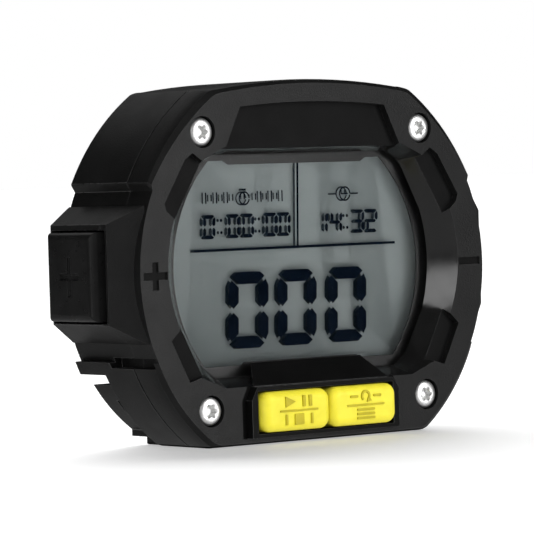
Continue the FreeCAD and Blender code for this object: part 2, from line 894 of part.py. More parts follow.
def main_case():
    body = new_body("main_case")
    split = S.split_depth
    rear = S.rear_depth
    pad(body, [case_outline(1)], split, rear)
    for side in SIDES:
        pocket(body, [side_panel(side)], split, rear)
    far = S.panel_far_x
    block(body, "Subtractive", (-far, far), (S.body_underside_rear, rear), (-far, S.body_underside))
    for side in SIDES:
        bulge(body, side, split, split, rear, S.bulge_top_end)
    pocket(body, [hollow_outline()], split, S.body_underside_rear - S.skin)
    floor_z = S.body_underside + S.skin
    upper_hollow = mirrored([
        (S.hollow_side_low_x - S.skin, floor_z, None),
        (S.hollow_side_low_x, S.hollow_side_low_z, None),
        (S.hollow_side_x, S.hollow_side_from, None),
        (S.hollow_side_x, S.hollow_side_to, None),
        (S.hollow_side_high_x, S.hollow_side_high_z, None),
        (S.hollow_brow_x, S.hollow_brow_z, None),
        (S.hollow_crown_x, S.hollow_crown_z, None),
    ])
    inner_rear = rear - S.skin
    pocket(body, [upper_hollow], S.body_underside_rear - S.skin, inner_rear)
    for side in SIDES:
        opening = side_span(side, S.side_opening_x, far)
        block(body, "Subtractive", opening, (split, S.side_key_rear + S.side_key_gap),
              (S.side_key_low - S.side_key_gap, S.side_key_high + S.side_key_gap))
        slot = side_span(side, S.slot_x, far)
        block(body, "Subtractive", slot, (split, S.slot_end), (S.slot_low, S.slot_high))
    stand_housing(body)
    battery_tub(body)
    for x, z in screw_places():
        screw_boss(body, x, z)


def screw_boss(body, x, z):
    """A boss that takes a brass insert, from the bezel's back to the nearest wall behind it."""
    start = S.hollow_depth
    end = S.rear_depth - S.skin if z.value > S.mid_height.value else S.body_underside_rear - S.skin
    rod(body, "Additive", S.boss_radius, (x, start, z), end - start, ALONG_Y)
    rod(body, "Subtractive", S.insert_radius, (x, start, z), S.insert_end - start, ALONG_Y)
    rod(body, "Subtractive", S.screw_radius, (x, start, z), S.boss_pilot_end - start, ALONG_Y)


def stand_housing(body):
    """The well in the back that the folded stand lies in, with the trough of its hinge."""
    inner_rear = S.rear_depth - S.skin
    wall_x = S.stand_housing_x
    trough_top = S.hinge_z + S.trough_radius
    block(body, "Additive", (-wall_x, wall_x), (S.stand_well_floor - S.skin, inner_rear),
          (S.body_underside + S.skin, trough_top + S.skin))
    block(body, "Additive", (-wall_x, wall_x), (S.hinge_depth - S.trough_radius - S.skin, inner_rear),
          (S.hinge_z - S.trough_radius - S.skin, trough_top + S.skin))
    well_x = S.stand_well_x
    block(body, "Subtractive", (-well_x, well_x), (S.stand_well_floor, S.rear_depth),
          (S.body_underside, S.hinge_z))
    rod(body, "Subtractive", S.trough_radius, (-well_x, S.hinge_depth, S.hinge_z), well_x * 2, ALONG_X)
    block(body, "Subtractive", (-well_x, well_x), (S.hinge_depth, S.rear_depth), (S.hinge_z, trough_top))
    rod(body, "Subtractive", S.pin_radius, (-S.pin_x, S.hinge_depth, S.hinge_z), S.pin_x * 2, ALONG_X)


def battery_tub(body):
    """A closed tub for the two cells, open to the back under the battery door."""
    wall = S.tub_wall
    edge = S.door_seal_front
    block(body, "Additive", (-S.tub_x - wall, S.tub_x + wall), (S.tub_shell_front, edge),
          (S.tub_low - wall, S.tub_high + wall))
    for side in SIDES:
        ear = (S.door_ear_x * side, S.door_boss_front, S.door_ear_z)
        rod(body, "Additive", S.door_boss_radius, ear, edge - S.door_boss_front, ALONG_Y)
    block(body, "Subtractive", (-S.tub_x, S.tub_x), (S.tub_front, S.rear_depth), (S.tub_low, S.tub_high))
    play = S.door_play
    block(body, "Subtractive", (-S.door_x - play, S.door_x + play), (edge, S.rear_depth),
          (S.door_low - play, S.door_high + play))
    for side in SIDES:
        ear = (S.door_ear_x * side, edge, S.door_ear_z)
        rod(body, "Subtractive", S.door_ear_radius + play, ear, S.rear_depth - edge, ALONG_Y)
        start = (S.door_ear_x * side, S.door_screw_tip - play, S.door_ear_z)
        rod(body, "Subtractive", S.door_screw_play, start, S.rear_depth - S.door_screw_tip, ALONG_Y)


def battery_door():
    body = new_body("battery_door")
    block(body, "Additive", (-S.door_x, S.door_x), (S.door_front, S.rear_depth), (S.door_low, S.door_high))
    for side in SIDES:
        ear = (S.door_ear_x * side, S.door_front, S.door_ear_z)
        rod(body, "Additive", S.door_ear_radius, ear, S.rear_depth - S.door_front, ALONG_Y)
    for side in SIDES:
        ear = (S.door_ear_x * side, S.door_front, S.door_ear_z)
        rod(body, "Subtractive", S.door_screw_play, ear, S.rear_depth - S.door_front, ALONG_Y)
        seat = S.rear_depth - S.door_screw_head_thick
        head = (S.door_ear_x * side, seat, S.door_ear_z)
        rod(body, "Subtractive", S.door_screw_seat, head, S.door_screw_head_thick, ALONG_Y)
    for step in range(-3, 4):
        middle = S.door_groove_pitch * step
        groove = (middle - S.door_groove_width / 2, middle + S.door_groove_width / 2)
        block(body, "Subtractive", groove, (S.rear_depth - S.door_groove_depth, S.rear_depth),
              (S.door_groove_low, S.door_groove_high))


def battery_door_seal():
    """A flat rubber frame that the door presses on the tub's rim."""
    body = new_body("battery_door_seal")
    edge = (S.door_seal_front, S.door_front)
    block(body, "Additive", (-S.door_x, S.door_x), edge, (S.door_low, S.door_high))
    block(body, "Subtractive", (-S.tub_x, S.tub_x), edge, (S.tub_low, S.tub_high))


def rear_stand():
    """The leg of the stand with its hinge barrel and its wide hollow foot."""
    body = new_body("rear_stand")
    block(body, "Additive", (-S.stand_x, S.stand_x), (S.stand_front, S.stand_rear), (S.foot_high, S.hinge_z))
    rod(body, "Additive", S.barrel_radius, (-S.stand_x, S.hinge_depth, S.hinge_z), S.stand_x * 2, ALONG_X)
    foot = mirrored([
        (S.foot_toe_x, S.foot_low, S.lower_arch_radius),
        (S.foot_high_x, S.foot_high, None),
    ])
    pad(body, [foot], S.foot_front, S.foot_rear)
    wall = S.foot_wall
    chamber = mirrored([
        (S.foot_toe_x - wall, S.foot_low + wall, S.lower_arch_radius),
        (S.chamber_high_x, S.foot_high - wall, None),
    ])
    pocket(body, [chamber], S.foot_front, S.foot_rear - wall)
    for step in range(-3, 4):
        middle = S.foot_rib_pitch * step
        rib = (middle - S.foot_rib / 2, middle + S.foot_rib / 2)
        block(body, "Additive", rib, (S.foot_rib_front, S.foot_rear), (S.foot_low, S.foot_high))
    for side in SIDES:
        slot = side_span(side, S.foot_toe_x + wall, S.panel_far_x)
        block(body, "Subtractive", slot, (S.foot_front, S.foot_slot_end), (S.foot_slot_low, S.foot_slot_high))
    rod(body, "Subtractive", S.barrel_bore, (-S.stand_x, S.hinge_depth, S.hinge_z), S.stand_x * 2, ALONG_X)


def stand_pads():
    """Two rubber feet under the stand, level with the underside of the case."""
    pads = []
    for side in SIDES:
        x = side_span(side, S.pad_x, S.pad_x + S.pad_length)
        depth = (S.foot_front + S.pad_inset, S.foot_rear - S.pad_inset)
        pads.append(solid_box(x, depth, (0, S.foot_low)))
    group("stand_pads", *pads)


def stand_hinge_pin():
    start = -S.pin_x
    keep(solid_rod(S.pin_radius, start, S.hinge_depth, S.hinge_z, S.pin_x * 2, ALONG_X), "stand_hinge_pin")


# ---------------------------------------------------------------- keys

def button_surround():
    body = new_body("button_surround")
    block(body, "Additive", (-S.surround_x, S.surround_x), (S.surround_lip + S.surround_gap, S.surround_thick),
          (S.surround_low, S.surround_high))
    raised = mirrored([
        (S.frame_x, S.surround_low, None),
        (S.frame_x, S.frame_corner_z, None),
        (S.frame_corner_x, S.surround_high, None),
    ])
    pad(body, [raised], -S.frame_proud, S.surround_thick)
    ramp = body.newObject("PartDesign::AdditiveWedge", "ramp")
    for name, amount in (("Xmin", -S.ramp_front_x), ("Xmax", S.ramp_front_x), ("X2min", -S.ramp_rear_x),
                         ("X2max", S.ramp_rear_x), ("Ymin", 0), ("Ymax", S.ramp_end),
                         ("Zmin", 0), ("Zmax", S.ramp_lip), ("Z2min", 0),
                         ("Z2max", S.ramp_high - S.surround_high)):
        bind(ramp, name, amount)
    place(ramp, 0, 0, S.surround_high)
    block(body, "Subtractive", (-S.window_x, S.window_x), (-S.frame_proud, S.surround_thick),
          (S.window_low, S.window_high))


def front_key(label, side):
    """A silicone key: rounded cap, flange behind the window and a stem to its switch."""
    body = new_body(label)
    span = side_span(side, S.front_key_inner, S.front_key_outer)
    cap = block(body, "Additive", span, (-S.front_key_proud, S.front_flange_start),
                (S.front_key_low, S.front_key_high))
    doc.recompute()
    corners = body.newObject("PartDesign::Fillet", "corners")
    corners.Base = (cap, edges_along_depth(cap.Shape))
    bind(corners, "Radius", S.front_key_corner)
    doc.recompute()
    rounding = body.newObject("PartDesign::Fillet", "rounding")
    rounding.Base = (corners, edges_at(corners.Shape, "Y", -S.front_key_proud.value))
    bind(rounding, "Radius", S.front_key_round)
    flange = side_span(side, S.front_key_inner, S.front_flange_x)
    block(body, "Additive", flange, (S.front_flange_start, S.front_flange_end),
          (S.front_flange_low, S.front_flange_high))
    reach = S.board_front - S.switch_height - S.plunger_reach
    rod(body, "Additive", S.front_stem_radius, (S.front_switch_x * side, S.front_flange_end, S.front_switch_z),
        reach - S.front_flange_end, ALONG_Y)


def edges_at(shape, axis, amount):
    """Names of the edges that lie wholly at one coordinate of an axis."""
    names = []
    for index, edge in enumerate(shape.Edges, start=1):
        low = getattr(edge.BoundBox, axis + "Min")
        high = getattr(edge.BoundBox, axis + "Max")
        if abs(low - amount) < NEAR and abs(high - amount) < NEAR:
            names.append("Edge%d" % index)
    return names


def edges_along_depth(shape):
    """Names of the straight edges that run along Y."""
    names = []
    for index, edge in enumerate(shape.Edges, start=1):
        if edge.BoundBox.XLength < NEAR and edge.BoundBox.ZLength < NEAR:
            names.append("Edge%d" % index)
    return names


def front_key_seal():
    body = new_body("front_key_seal")
    depth = (S.surround_thick, S.front_flange_start)
    block(body, "Additive", (-S.front_flange_x, S.front_flange_x), depth,
          (S.front_flange_low, S.front_flange_high))
    block(body, "Subtractive", (-S.window_x, S.window_x), depth, (S.window_low, S.window_high))


def side_key(label, side):
    """A side key with an engraved sign, a flange behind the wall and a stem to its switch."""
    body = new_body(label)
    cap = block(body, "Additive", side_span(side, S.side_flange_out, S.side_key_x),
                (S.side_key_front, S.side_key_rear), (S.side_key_low, S.side_key_high))
    doc.recompute()
    rounding = body.newObject("PartDesign::Fillet", "rounding")
    rounding.Base = (cap, edges_at(cap.Shape, "X", S.side_key_x.value * side))
    bind(rounding, "Radius", S.side_key_round)
    lap = S.side_flange_lap + S.side_key_gap
    block(body, "Additive", side_span(side, S.side_flange_in, S.side_flange_out),
          (S.side_key_front, S.side_key_rear + lap), (S.side_key_low - lap, S.side_key_high + lap))
    stem = (S.side_switch_x + S.plunger_reach) if side > 0 else -S.side_flange_in
    rod(body, "Additive", S.side_stem_radius, (stem, S.side_switch_depth, S.side_switch_z),
        S.side_flange_in - S.side_switch_x - S.plunger_reach, ALONG_X)
    face = side_span(side, S.side_key_x - S.key_sign_depth, S.side_key_x)
    half_bar = S.key_sign_bar / 2
    half_width = S.key_sign_width / 2
    middle = S.side_switch_depth
    block(body, "Subtractive", face, (middle - half_width, middle + half_width),
          (S.side_switch_z - half_bar, S.side_switch_z + half_bar))
    if side < 0:
        half_height = S.key_sign_height / 2
        block(body, "Subtractive", face, (middle - half_bar, middle + half_bar),
              (S.side_switch_z - half_height, S.side_switch_z + half_height))


def side_key_seals():
    """Two soft frames between the side keys' flanges and the case wall."""
    frames = []
    gap = S.side_key_gap
    lap = S.side_flange_lap + gap
    for side in SIDES:
        x = side_span(side, S.side_flange_out, S.hollow_side_x)
        outer = solid_box(x, (S.split_depth, S.side_key_rear + lap),
                          (S.side_key_low - lap, S.side_key_high + lap))
        inner = solid_box(x, (S.split_depth, S.side_key_rear + gap),
                          (S.side_key_low - gap, S.side_key_high + gap))
        frames.append(cut(outer, inner))
    group("side_key_seals", *frames)


def front_switches():
    """Two push switches on the front of the circuit board."""
    half = S.switch_width / 2
    front = S.board_front - S.switch_height
    switches = []
    for side in SIDES:
        x = S.front_switch_x * side
        case = solid_box((x - half, x + half), (front, S.board_front),
                         (S.front_switch_z - half, S.front_switch_z + half))
        bore = solid_rod(S.plunger_bore, x, front, S.front_switch_z, S.plunger_bore_depth)
        switches.append(cut(case, bore))
    group("front_switches", *switches)


def side_switches():
    """Two push switches on the back of the circuit board that face the side keys."""
    half = S.switch_width / 2
    switches = []
    for side in SIDES:
        x = side_span(side, S.side_switch_x - S.switch_height, S.side_switch_x)
        case = solid_box(x, (S.board_rear, S.side_switch_depth + half),
                         (S.side_switch_z - half, S.side_switch_z + half))
        start = (S.side_switch_x - S.plunger_bore_depth) if side > 0 else -S.side_switch_x
        bore = solid_rod(S.plunger_bore, start, S.side_switch_depth, S.side_switch_z,
                         S.plunger_bore_depth, ALONG_X)
        switches.append(cut(case, bore))
    group("side_switches", *switches)


def front_plunger(label, side):
    front = S.board_front - S.switch_height - S.plunger_reach
    keep(solid_rod(S.plunger_radius, S.front_switch_x * side, front, S.front_switch_z,
                   S.plunger_reach + S.plunger_hidden), label)


def side_plunger(label, side):
    start = (S.side_switch_x - S.plunger_hidden) if side > 0 else -S.side_switch_x - S.plunger_reach
    keep(solid_rod(S.plunger_radius, start, S.side_switch_depth, S.side_switch_z,
                   S.plunger_reach + S.plunger_hidden, ALONG_X), label)


def front_spring(label, side):
    start = Vector(S.front_switch_x.value * side, S.face_y.value + S.front_flange_end.value,
                   S.front_switch_z.value)
    length = S.board_front.value - S.switch_height.value - S.front_flange_end.value
    coil(label, start, Vector(0, 1, 0), length, S.spring_radius.value)


def side_spring(label, side):
    start = Vector(S.side_switch_x.value * side, S.face_y.value + S.side_switch_depth.value,
                   S.side_switch_z.value)
    length = S.side_flange_in.value - S.side_switch_x.value
    coil(label, start, Vector(side, 0, 0), length, S.spring_radius.value)


# ---------------------------------------------------------------- display

def plate(label, outlines, start, end):
    body = new_body(label)
    pad(body, outlines, start, end)
    return body


def view_outline():
    """The part of the display that the printed border leaves free."""
    half = [
        (S.view_block_x, S.view_block_z, None),
        (S.view_block_end_x, S.view_low, None),
        (S.view_toe_x, S.view_low, S.view_radius),
        (S.view_brow_x, S.view_high, None),
        (S.view_bar_end_x, S.view_high, None),
        (S.view_bar_x, S.view_bar_z, None),
    ]
    return mirrored(half)


def gasket_opening():
    """The lens gasket's inner edge, just outside the end of the display opening."""
    return mirrored([
        (S.gasket_toe_x, S.gasket_low, None),
        (S.gasket_side_x, S.gasket_side_low, None),
        (S.gasket_side_x, S.gasket_side_high, None),
        (S.gasket_brow_x, S.gasket_high, None),
    ])


def display_stack():
    plate("lens_gasket", [lens_outline(), gasket_opening()], S.hollow_depth, S.lens_front)
    plate("display_lens", [lens_outline()], S.lens_front, S.lens_rear)
    plate("display_border", [lens_outline(), view_outline()], S.lens_rear, S.border_rear)
    front = S.glass_front
    step = S.glass_thick + S.glass_joint
    plate("lcd_front_glass", [lens_outline(S.glass_inset)], front, front + S.glass_thick)
    rear_glass = mirrored([
        (S.rear_glass_toe_x, S.rear_glass_low, None),
        (S.lens_side_x - S.glass_inset, S.lens_side_low + S.glass_inset, None),
        (S.lens_side_x - S.glass_inset, S.lens_side_high - S.glass_inset, None),
        (S.lens_brow_x - S.glass_inset, S.lens_high - S.glass_inset, None),
    ])
    plate("lcd_rear_glass", [rear_glass], front + step, front + step + S.glass_thick)
    mirror_start = front + step + S.glass_thick
    plate("lcd_reflector", [rear_glass], mirror_start, mirror_start + S.reflector_thick)
    holder_rings = [lens_outline(), lens_outline(S.glass_inset - S.glass_play)]
    holder = plate("lcd_holder", holder_rings, front, S.board_front)
    for side in SIDES:
        for z in (S.board_screw_low, S.board_screw_high):
            ear_x = side_span(side, S.ear_start_x, S.ear_end_x)
            ear_band = (z - S.ear_height / 2, z + S.ear_height / 2)
            block(holder, "Additive", ear_x, (front, S.board_front), ear_band)
    for x, z in board_screw_places():
        rod(holder, "Subtractive", S.board_screw_radius, (x, S.board_screw_tip, z),
            S.board_front - S.board_screw_tip, ALONG_Y)
    strip = solid_box((-S.zebra_x, S.zebra_x), (front + S.glass_thick, S.board_front),
                      (S.zebra_low, S.zebra_high))
    keep(strip, "zebra_strip")


def board_screw_places():
    for side in SIDES:
        for z in (S.board_screw_low, S.board_screw_high):
            yield S.board_screw_x * side, z


def main_board():
    body = new_body("main_board")
    edge = mirrored([
        (S.board_foot_x, S.board_low, None),
        (S.board_foot_x, S.board_neck_z, None),
        (S.board_waist_x, S.board_waist_z, None),
        (S.board_side_x, S.board_side_low, None),
        (S.board_side_x, S.board_side_high, None),
        (S.board_brow_x, S.board_high, None),
    ])
    pad(body, [edge], S.board_front, S.board_rear)
    for x, z in board_screw_places():
        rod(body, "Subtractive", S.board_screw_radius, (x, S.board_front, z),
            S.board_rear - S.board_front, ALONG_Y)


def board_screws():
    screws = []
    for x, z in board_screw_places():
        head = solid_rod(S.board_screw_head, x, S.board_rear, z, S.board_screw_head_thick)
        shank = solid_rod(S.board_screw_radius, x, S.board_screw_tip, z, S.board_rear - S.board_screw_tip)
        screws.append(fuse(head, shank))
    group("board_screws", *screws)


def board_parts():
    """What is soldered to the back of the circuit board."""
    chip = solid_cone(S.chip_radius, S.chip_rear_radius, 0, S.board_rear, S.chip_z, S.chip_thick)
    keep(chip, "controller_chip")
    crystal = solid_rod(S.crystal_radius, S.crystal_x, S.board_rear + S.crystal_radius, S.crystal_z,
                        S.crystal_length, ALONG_X)
    keep(crystal, "quartz_crystal")
    half_width = S.capacitor_width / 2
    rear = (S.board_rear, S.board_rear + S.capacitor_height)
    capacitors = []
    for step in range(4):
        x = S.capacitor_x + S.capacitor_pitch * step
        capacitors.append(solid_box((x - half_width, x + half_width), rear,
                                    (S.capacitor_z, S.capacitor_z + S.capacitor_height)))
    group("capacitors", *capacitors)
    shell = solid_rod(S.buzzer_radius, S.buzzer_x, S.board_rear, S.buzzer_z, S.buzzer_height)
    port = solid_rod(S.buzzer_port, S.buzzer_x, S.board_rear + S.buzzer_height / 2, S.buzzer_z, S.buzzer_height)
    keep(cut(shell, port), "buzzer")


# ---------------------------------------------------------------- fasteners and batteries

def bezel_screws():
    """Four screws with a domed head and a six-lobed socket."""
    screws = []
    for x, z in screw_places():
        head = solid_rod(S.head_radius, x, S.head_edge, z, S.head_seat - S.head_edge)
        dome = solid_cone(S.head_edge_radius, S.head_radius, x, S.head_front, z, S.head_edge - S.head_front)
        shank = solid_rod(S.screw_radius, x, S.head_seat, z, S.screw_end - S.head_seat)
        whole = fuse(head, dome, shank)
        for turn in (0, 60):
            socket = doc.addObject("Part::Prism", "socket")
            socket.Polygon = 3
            bind(socket, "Circumradius", S.socket_radius)
            bind(socket, "Height", S.socket_depth)
            place(socket, x, S.face_y + S.head_front, z, ALONG_Y.multiply(Rotation(Vector(0, 0, 1), turn)))
            whole = cut(whole, socket)
        screws.append(whole)
    group("bezel_screws", *screws)


def thread_inserts():
    inserts = []
    for x, z in screw_places():
        start = S.hollow_depth
        outer = solid_rod(S.insert_radius, x, start, z, S.insert_end - start)
        bore = solid_rod(S.screw_radius, x, start, z, S.insert_end - start)
        inserts.append(cut(outer, bore))
    group("thread_inserts", *inserts)


def door_screws():
    screws = []
    for side in SIDES:
        x = S.door_ear_x * side
        seat = S.rear_depth - S.door_screw_head_thick
        head = solid_rod(S.door_screw_head, x, seat, S.door_ear_z, S.door_screw_head_thick)
        shank = solid_rod(S.door_screw_radius, x, S.door_screw_tip, S.door_ear_z, seat - S.door_screw_tip)
        half_slot = S.door_slot_width / 2
        slot = solid_box((x - S.door_screw_head, x + S.door_screw_head),
                         (S.rear_depth - S.door_slot_depth, S.rear_depth),
                         (S.door_ear_z - half_slot, S.door_ear_z + half_slot))
        screws.append(cut(fuse(head, shank), slot))
    group("door_screws", *screws)


def battery_cell(label, z, side):
    """An AAA cell whose positive end points to the given side."""
    half = S.cell_length / 2
    can = solid_rod(S.cell_radius, -half, S.cell_depth, z, S.cell_length, ALONG_X)
    start = half if side > 0 else -half - S.cell_nub
    nub = solid_rod(S.cell_nub_radius, start, S.cell_depth, z, S.cell_nub, ALONG_X)
    keep(fuse(can, nub), label)


def cell_rows():
    """Height and side of the positive end of each cell: they lie head to tail."""
    return ((S.cell_low_z, 1), (S.cell_high_z, -1))


def battery_contacts():
    """A contact plate at each cell's positive end and a coil spring at its negative end."""
    half = S.contact_width / 2
    plates = []
    for z, side in cell_rows():
        x = side_span(side, S.cell_length / 2 + S.cell_nub, S.cell_length / 2 + S.cell_nub + S.contact_thick)
        plates.append(solid_box(x, (S.cell_depth - half, S.cell_depth + half), (z - half, z + half)))
    group("battery_plates", *plates)
    for (z, side), label in zip(cell_rows(), ("battery_spring_lower", "battery_spring_upper")):
        end = S.cell_length.value / 2
        start = Vector(-side * end, S.face_y.value + S.cell_depth.value, z.value)
        coil(label, start, Vector(-side, 0, 0), S.tub_x.value - end, S.spring_radius.value)


front_bezel()
main_case()
button_surround()
bezel_screws()
thread_inserts()
display_stack()
main_board()
board_screws()
board_parts()
front_switches()
side_switches()
front_key("start_stop_key", -1)
front_key("reset_mode_key", 1)
front_key_seal()
side_key("plus_key", -1)
side_key("minus_key", 1)
side_key_seals()
front_plunger("start_stop_plunger", -1)
front_plunger("reset_mode_plunger", 1)
side_plunger("plus_plunger", -1)
side_plunger("minus_plunger", 1)
front_spring("start_stop_spring", -1)
front_spring("reset_mode_spring", 1)
side_spring("plus_spring", -1)
side_spring("minus_spring", 1)
battery_cell("battery_cell_lower", S.cell_low_z, 1)
battery_cell("battery_cell_upper", S.cell_high_z, -1)
battery_contacts()
battery_door()
battery_door_seal()
door_screws()
rear_stand()
stand_pads()
stand_hinge_pin()

doc.recompute()

# ---------------------------------------------------------------- export

for thing in doc.Objects:
    if "Invalid" in thing.State or "Error" in thing.State:
        raise RuntimeError("%s (%s) failed: %s" % (thing.Name, thing.Label, thing.State))
for node in nodes:
    if node.Shape.isNull() or not node.Shape.isValid():
        raise RuntimeError("%s has no valid shape" % node.Label)

os.makedirs("parts", exist_ok=True)
for node in nodes:
    node.Shape.exportStep(os.path.join("parts", node.Label + ".step"))
    print(node.Label, len(node.Shape.Solids), round(node.Shape.Volume, 1))
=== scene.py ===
import bmesh
import bpy
import json
import math
from mathutils import Matrix, Vector


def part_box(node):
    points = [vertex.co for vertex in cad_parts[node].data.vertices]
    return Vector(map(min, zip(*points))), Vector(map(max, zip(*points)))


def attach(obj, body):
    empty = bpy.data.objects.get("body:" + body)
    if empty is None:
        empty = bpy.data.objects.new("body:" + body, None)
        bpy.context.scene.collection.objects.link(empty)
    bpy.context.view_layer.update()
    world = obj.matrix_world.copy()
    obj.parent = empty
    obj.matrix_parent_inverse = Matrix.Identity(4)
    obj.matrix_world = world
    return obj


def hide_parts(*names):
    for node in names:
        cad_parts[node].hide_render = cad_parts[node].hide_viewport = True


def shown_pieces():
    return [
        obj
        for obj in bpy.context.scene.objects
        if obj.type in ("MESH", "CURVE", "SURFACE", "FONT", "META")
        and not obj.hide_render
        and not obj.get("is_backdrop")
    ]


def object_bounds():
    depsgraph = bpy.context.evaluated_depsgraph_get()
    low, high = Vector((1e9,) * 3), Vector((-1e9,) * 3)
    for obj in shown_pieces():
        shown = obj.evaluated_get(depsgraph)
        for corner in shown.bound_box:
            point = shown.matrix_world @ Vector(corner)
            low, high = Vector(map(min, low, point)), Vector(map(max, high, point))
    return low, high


# A digital stopwatch timer. Lengths in the lists below are millimetres.
MM = 0.001

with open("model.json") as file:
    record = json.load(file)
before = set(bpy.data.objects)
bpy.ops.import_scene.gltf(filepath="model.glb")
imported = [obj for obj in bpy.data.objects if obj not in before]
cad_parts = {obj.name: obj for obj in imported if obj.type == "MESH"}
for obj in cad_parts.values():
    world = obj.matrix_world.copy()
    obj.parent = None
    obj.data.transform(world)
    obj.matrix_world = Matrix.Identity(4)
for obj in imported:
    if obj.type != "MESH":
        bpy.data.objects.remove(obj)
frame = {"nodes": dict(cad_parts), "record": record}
cad_low, cad_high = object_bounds()
nodes = frame["nodes"]
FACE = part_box("front_bezel")[0].y
MIDDLE = (cad_low + cad_high) / 2


# ---------------------------------------------------------------- materials

class Look:
    """A node material built round one Principled shader, in the object's own coordinates."""

    def __init__(self, name, rough, specular=0.5, metal=0.0):
        self.material = bpy.data.materials.new(name)
        self.material.use_nodes = True
        self.tree = self.material.node_tree
        self.shader = self.tree.nodes["Principled BSDF"]
        self.shader.inputs["Roughness"].default_value = rough
        self.shader.inputs["Specular IOR Level"].default_value = specular
        self.shader.inputs["Metallic"].default_value = metal
        self.place = self.tree.nodes.new("ShaderNodeTexCoord").outputs["Object"]

    def set(self, socket, value):
        self.shader.inputs[socket].default_value = value
        return self

    def link(self, output, socket):
        self.tree.links.new(output, self.shader.inputs[socket])

    def noise(self, size, detail=2.0, stretch=(1.0, 1.0, 1.0)):
        """Noise whose lumps are about size mm across; stretch lengthens them along an axis."""
        mapping = self.tree.nodes.new("ShaderNodeMapping")
        mapping.inputs["Scale"].default_value = [1.0 / s for s in stretch]
        self.tree.links.new(self.place, mapping.inputs["Vector"])
        texture = self.tree.nodes.new("ShaderNodeTexNoise")
        texture.inputs["Scale"].default_value = 1.0 / (size * MM)
        texture.inputs["Detail"].default_value = detail
        self.tree.links.new(mapping.outputs["Vector"], texture.inputs["Vector"])
        return texture.outputs["Fac"]

    def colours(self, factor, *stops):
        """A colour ramp over a factor; each stop is (place, linear colour)."""
        ramp = self.tree.nodes.new("ShaderNodeValToRGB")
        while len(ramp.color_ramp.elements) < len(stops):
            ramp.color_ramp.elements.new(0.5)
        for element, (place, colour) in zip(ramp.color_ramp.elements, stops):
            element.position = place
            element.color = (*colour, 1.0)
        self.tree.links.new(factor, ramp.inputs["Fac"])
        self.link(ramp.outputs["Color"], "Base Color")

    def roughness(self, factor, low, high):
        span = self.tree.nodes.new("ShaderNodeMapRange")
        span.inputs["To Min"].default_value = low
        span.inputs["To Max"].default_value = high
        self.tree.links.new(factor, span.inputs["Value"])
        self.link(span.outputs["Result"], "Roughness")

    def bump(self, *layers):
        """Stacked bumps; each layer is (height, strength, depth in mm)."""
        normal = None
        for height, strength, depth in layers:
            node = self.tree.nodes.new("ShaderNodeBump")
            node.inputs["Strength"].default_value = strength
            node.inputs["Distance"].default_value = depth * MM
            self.tree.links.new(height, node.inputs["Height"])
            if normal is not None:
                self.tree.links.new(normal, node.inputs["Normal"])
            normal = node.outputs["Normal"]
        self.link(normal, "Normal")


def grey(level, tint=(1.0, 1.0, 1.0)):
    return tuple(level * part for part in tint)


def moulded_plastic(name, level, rough, grain, depth, specular):
    """Black moulded plastic: fine spark-eroded grain, faint flow marks and handling shine."""
    look = Look(name, rough, specular=specular)
    patches = look.noise(9.0, 3.0)
    look.colours(patches, (0.3, grey(level * 0.8)), (0.7, grey(level * 1.25)))
    look.roughness(look.noise(4.0, 4.0), rough - 0.06, rough + 0.07)
    look.bump((look.noise(grain, 1.0), 0.9, depth), (look.noise(3.0), 0.1, depth))
    return look.material


def edge_painted_highlight(name, level, rough):
    """The rounded edges of the shell, rubbed smoother than its faces, with a painted highlight: a paler
    colour than the faces.
    """
    look = Look(name, rough, specular=0.4)
    look.colours(look.noise(1.6, 4.0), (0.35, grey(level)), (0.75, grey(level * 2.2)))
    look.roughness(look.noise(1.1, 3.0), rough - 0.05, rough + 0.1)
    look.bump((look.noise(0.25), 0.15, 0.01))
    return look.material


def gloss_plastic(name, level):
    """The polished wall of the display opening."""
    look = Look(name, 0.16, specular=0.5)
    look.colours(look.noise(12.0), (0.3, grey(level)), (0.7, grey(level * 1.5)))
    look.roughness(look.noise(2.5, 4.0), 0.12, 0.24)
    look.bump((look.noise(6.0), 0.06, 0.02))
    return look.material


def rubber(name, level, rough):
    look = Look(name, rough, specular=0.1)
    look.colours(look.noise(5.0, 4.0), (0.3, grey(level * 0.8)), (0.7, grey(level * 1.4)))
    look.roughness(look.noise(2.0, 4.0), rough - 0.06, rough + 0.08)
    look.bump((look.noise(0.12), 0.25, 0.01), (look.noise(2.2), 0.1, 0.02))
    return look.material


def silicone(name, bright, deep):
    """Matte translucent silicone with a powdery skin."""
    look = Look(name, 0.5, specular=0.4)
    look.colours(look.noise(2.6, 4.0), (0.25, deep), (0.6, bright))
    look.roughness(look.noise(1.4, 3.0), 0.42, 0.58)
    look.bump((look.noise(0.1), 0.2, 0.008), (look.noise(1.8), 0.12, 0.03))
    look.set("Subsurface Weight", 0.25).set("Subsurface Scale", 0.6 * MM)
    look.set("Subsurface Radius", (1.0, 0.9, 0.15))
    return look.material


def metal(name, pale, dark, rough, lay):
    """Machined or drawn metal whose fine lines run along one axis."""
    look = Look(name, rough, metal=1.0)
    look.colours(look.noise(0.5, 4.0), (0.3, dark), (0.65, pale))
    lines = look.noise(0.06, 2.0, lay)
    look.roughness(lines, rough - 0.08, rough + 0.14)
    look.bump((lines, 0.18, 0.005))
    return look.material


def clear(name, tint, alpha, rough):
    """Clear sheet with faint wipe marks in its polish."""
    look = Look(name, rough, specular=0.25)
    look.colours(look.noise(14.0), (0.3, grey(0.9, tint)), (0.7, tint))
    look.roughness(look.noise(5.0, 4.0, (3.0, 1.0, 1.0)), rough, rough + 0.08)
    look.set("Alpha", alpha)
    look.material.surface_render_method = "BLENDED"
    return look.material


def printed_black(name):
    look = Look(name, 0.35, specular=0.3)
    look.colours(look.noise(3.0), (0.3, grey(0.0035)), (0.7, grey(0.006)))
    look.roughness(look.noise(0.3), 0.3, 0.42)
    look.bump((look.noise(0.2), 0.08, 0.004))
    return look.material


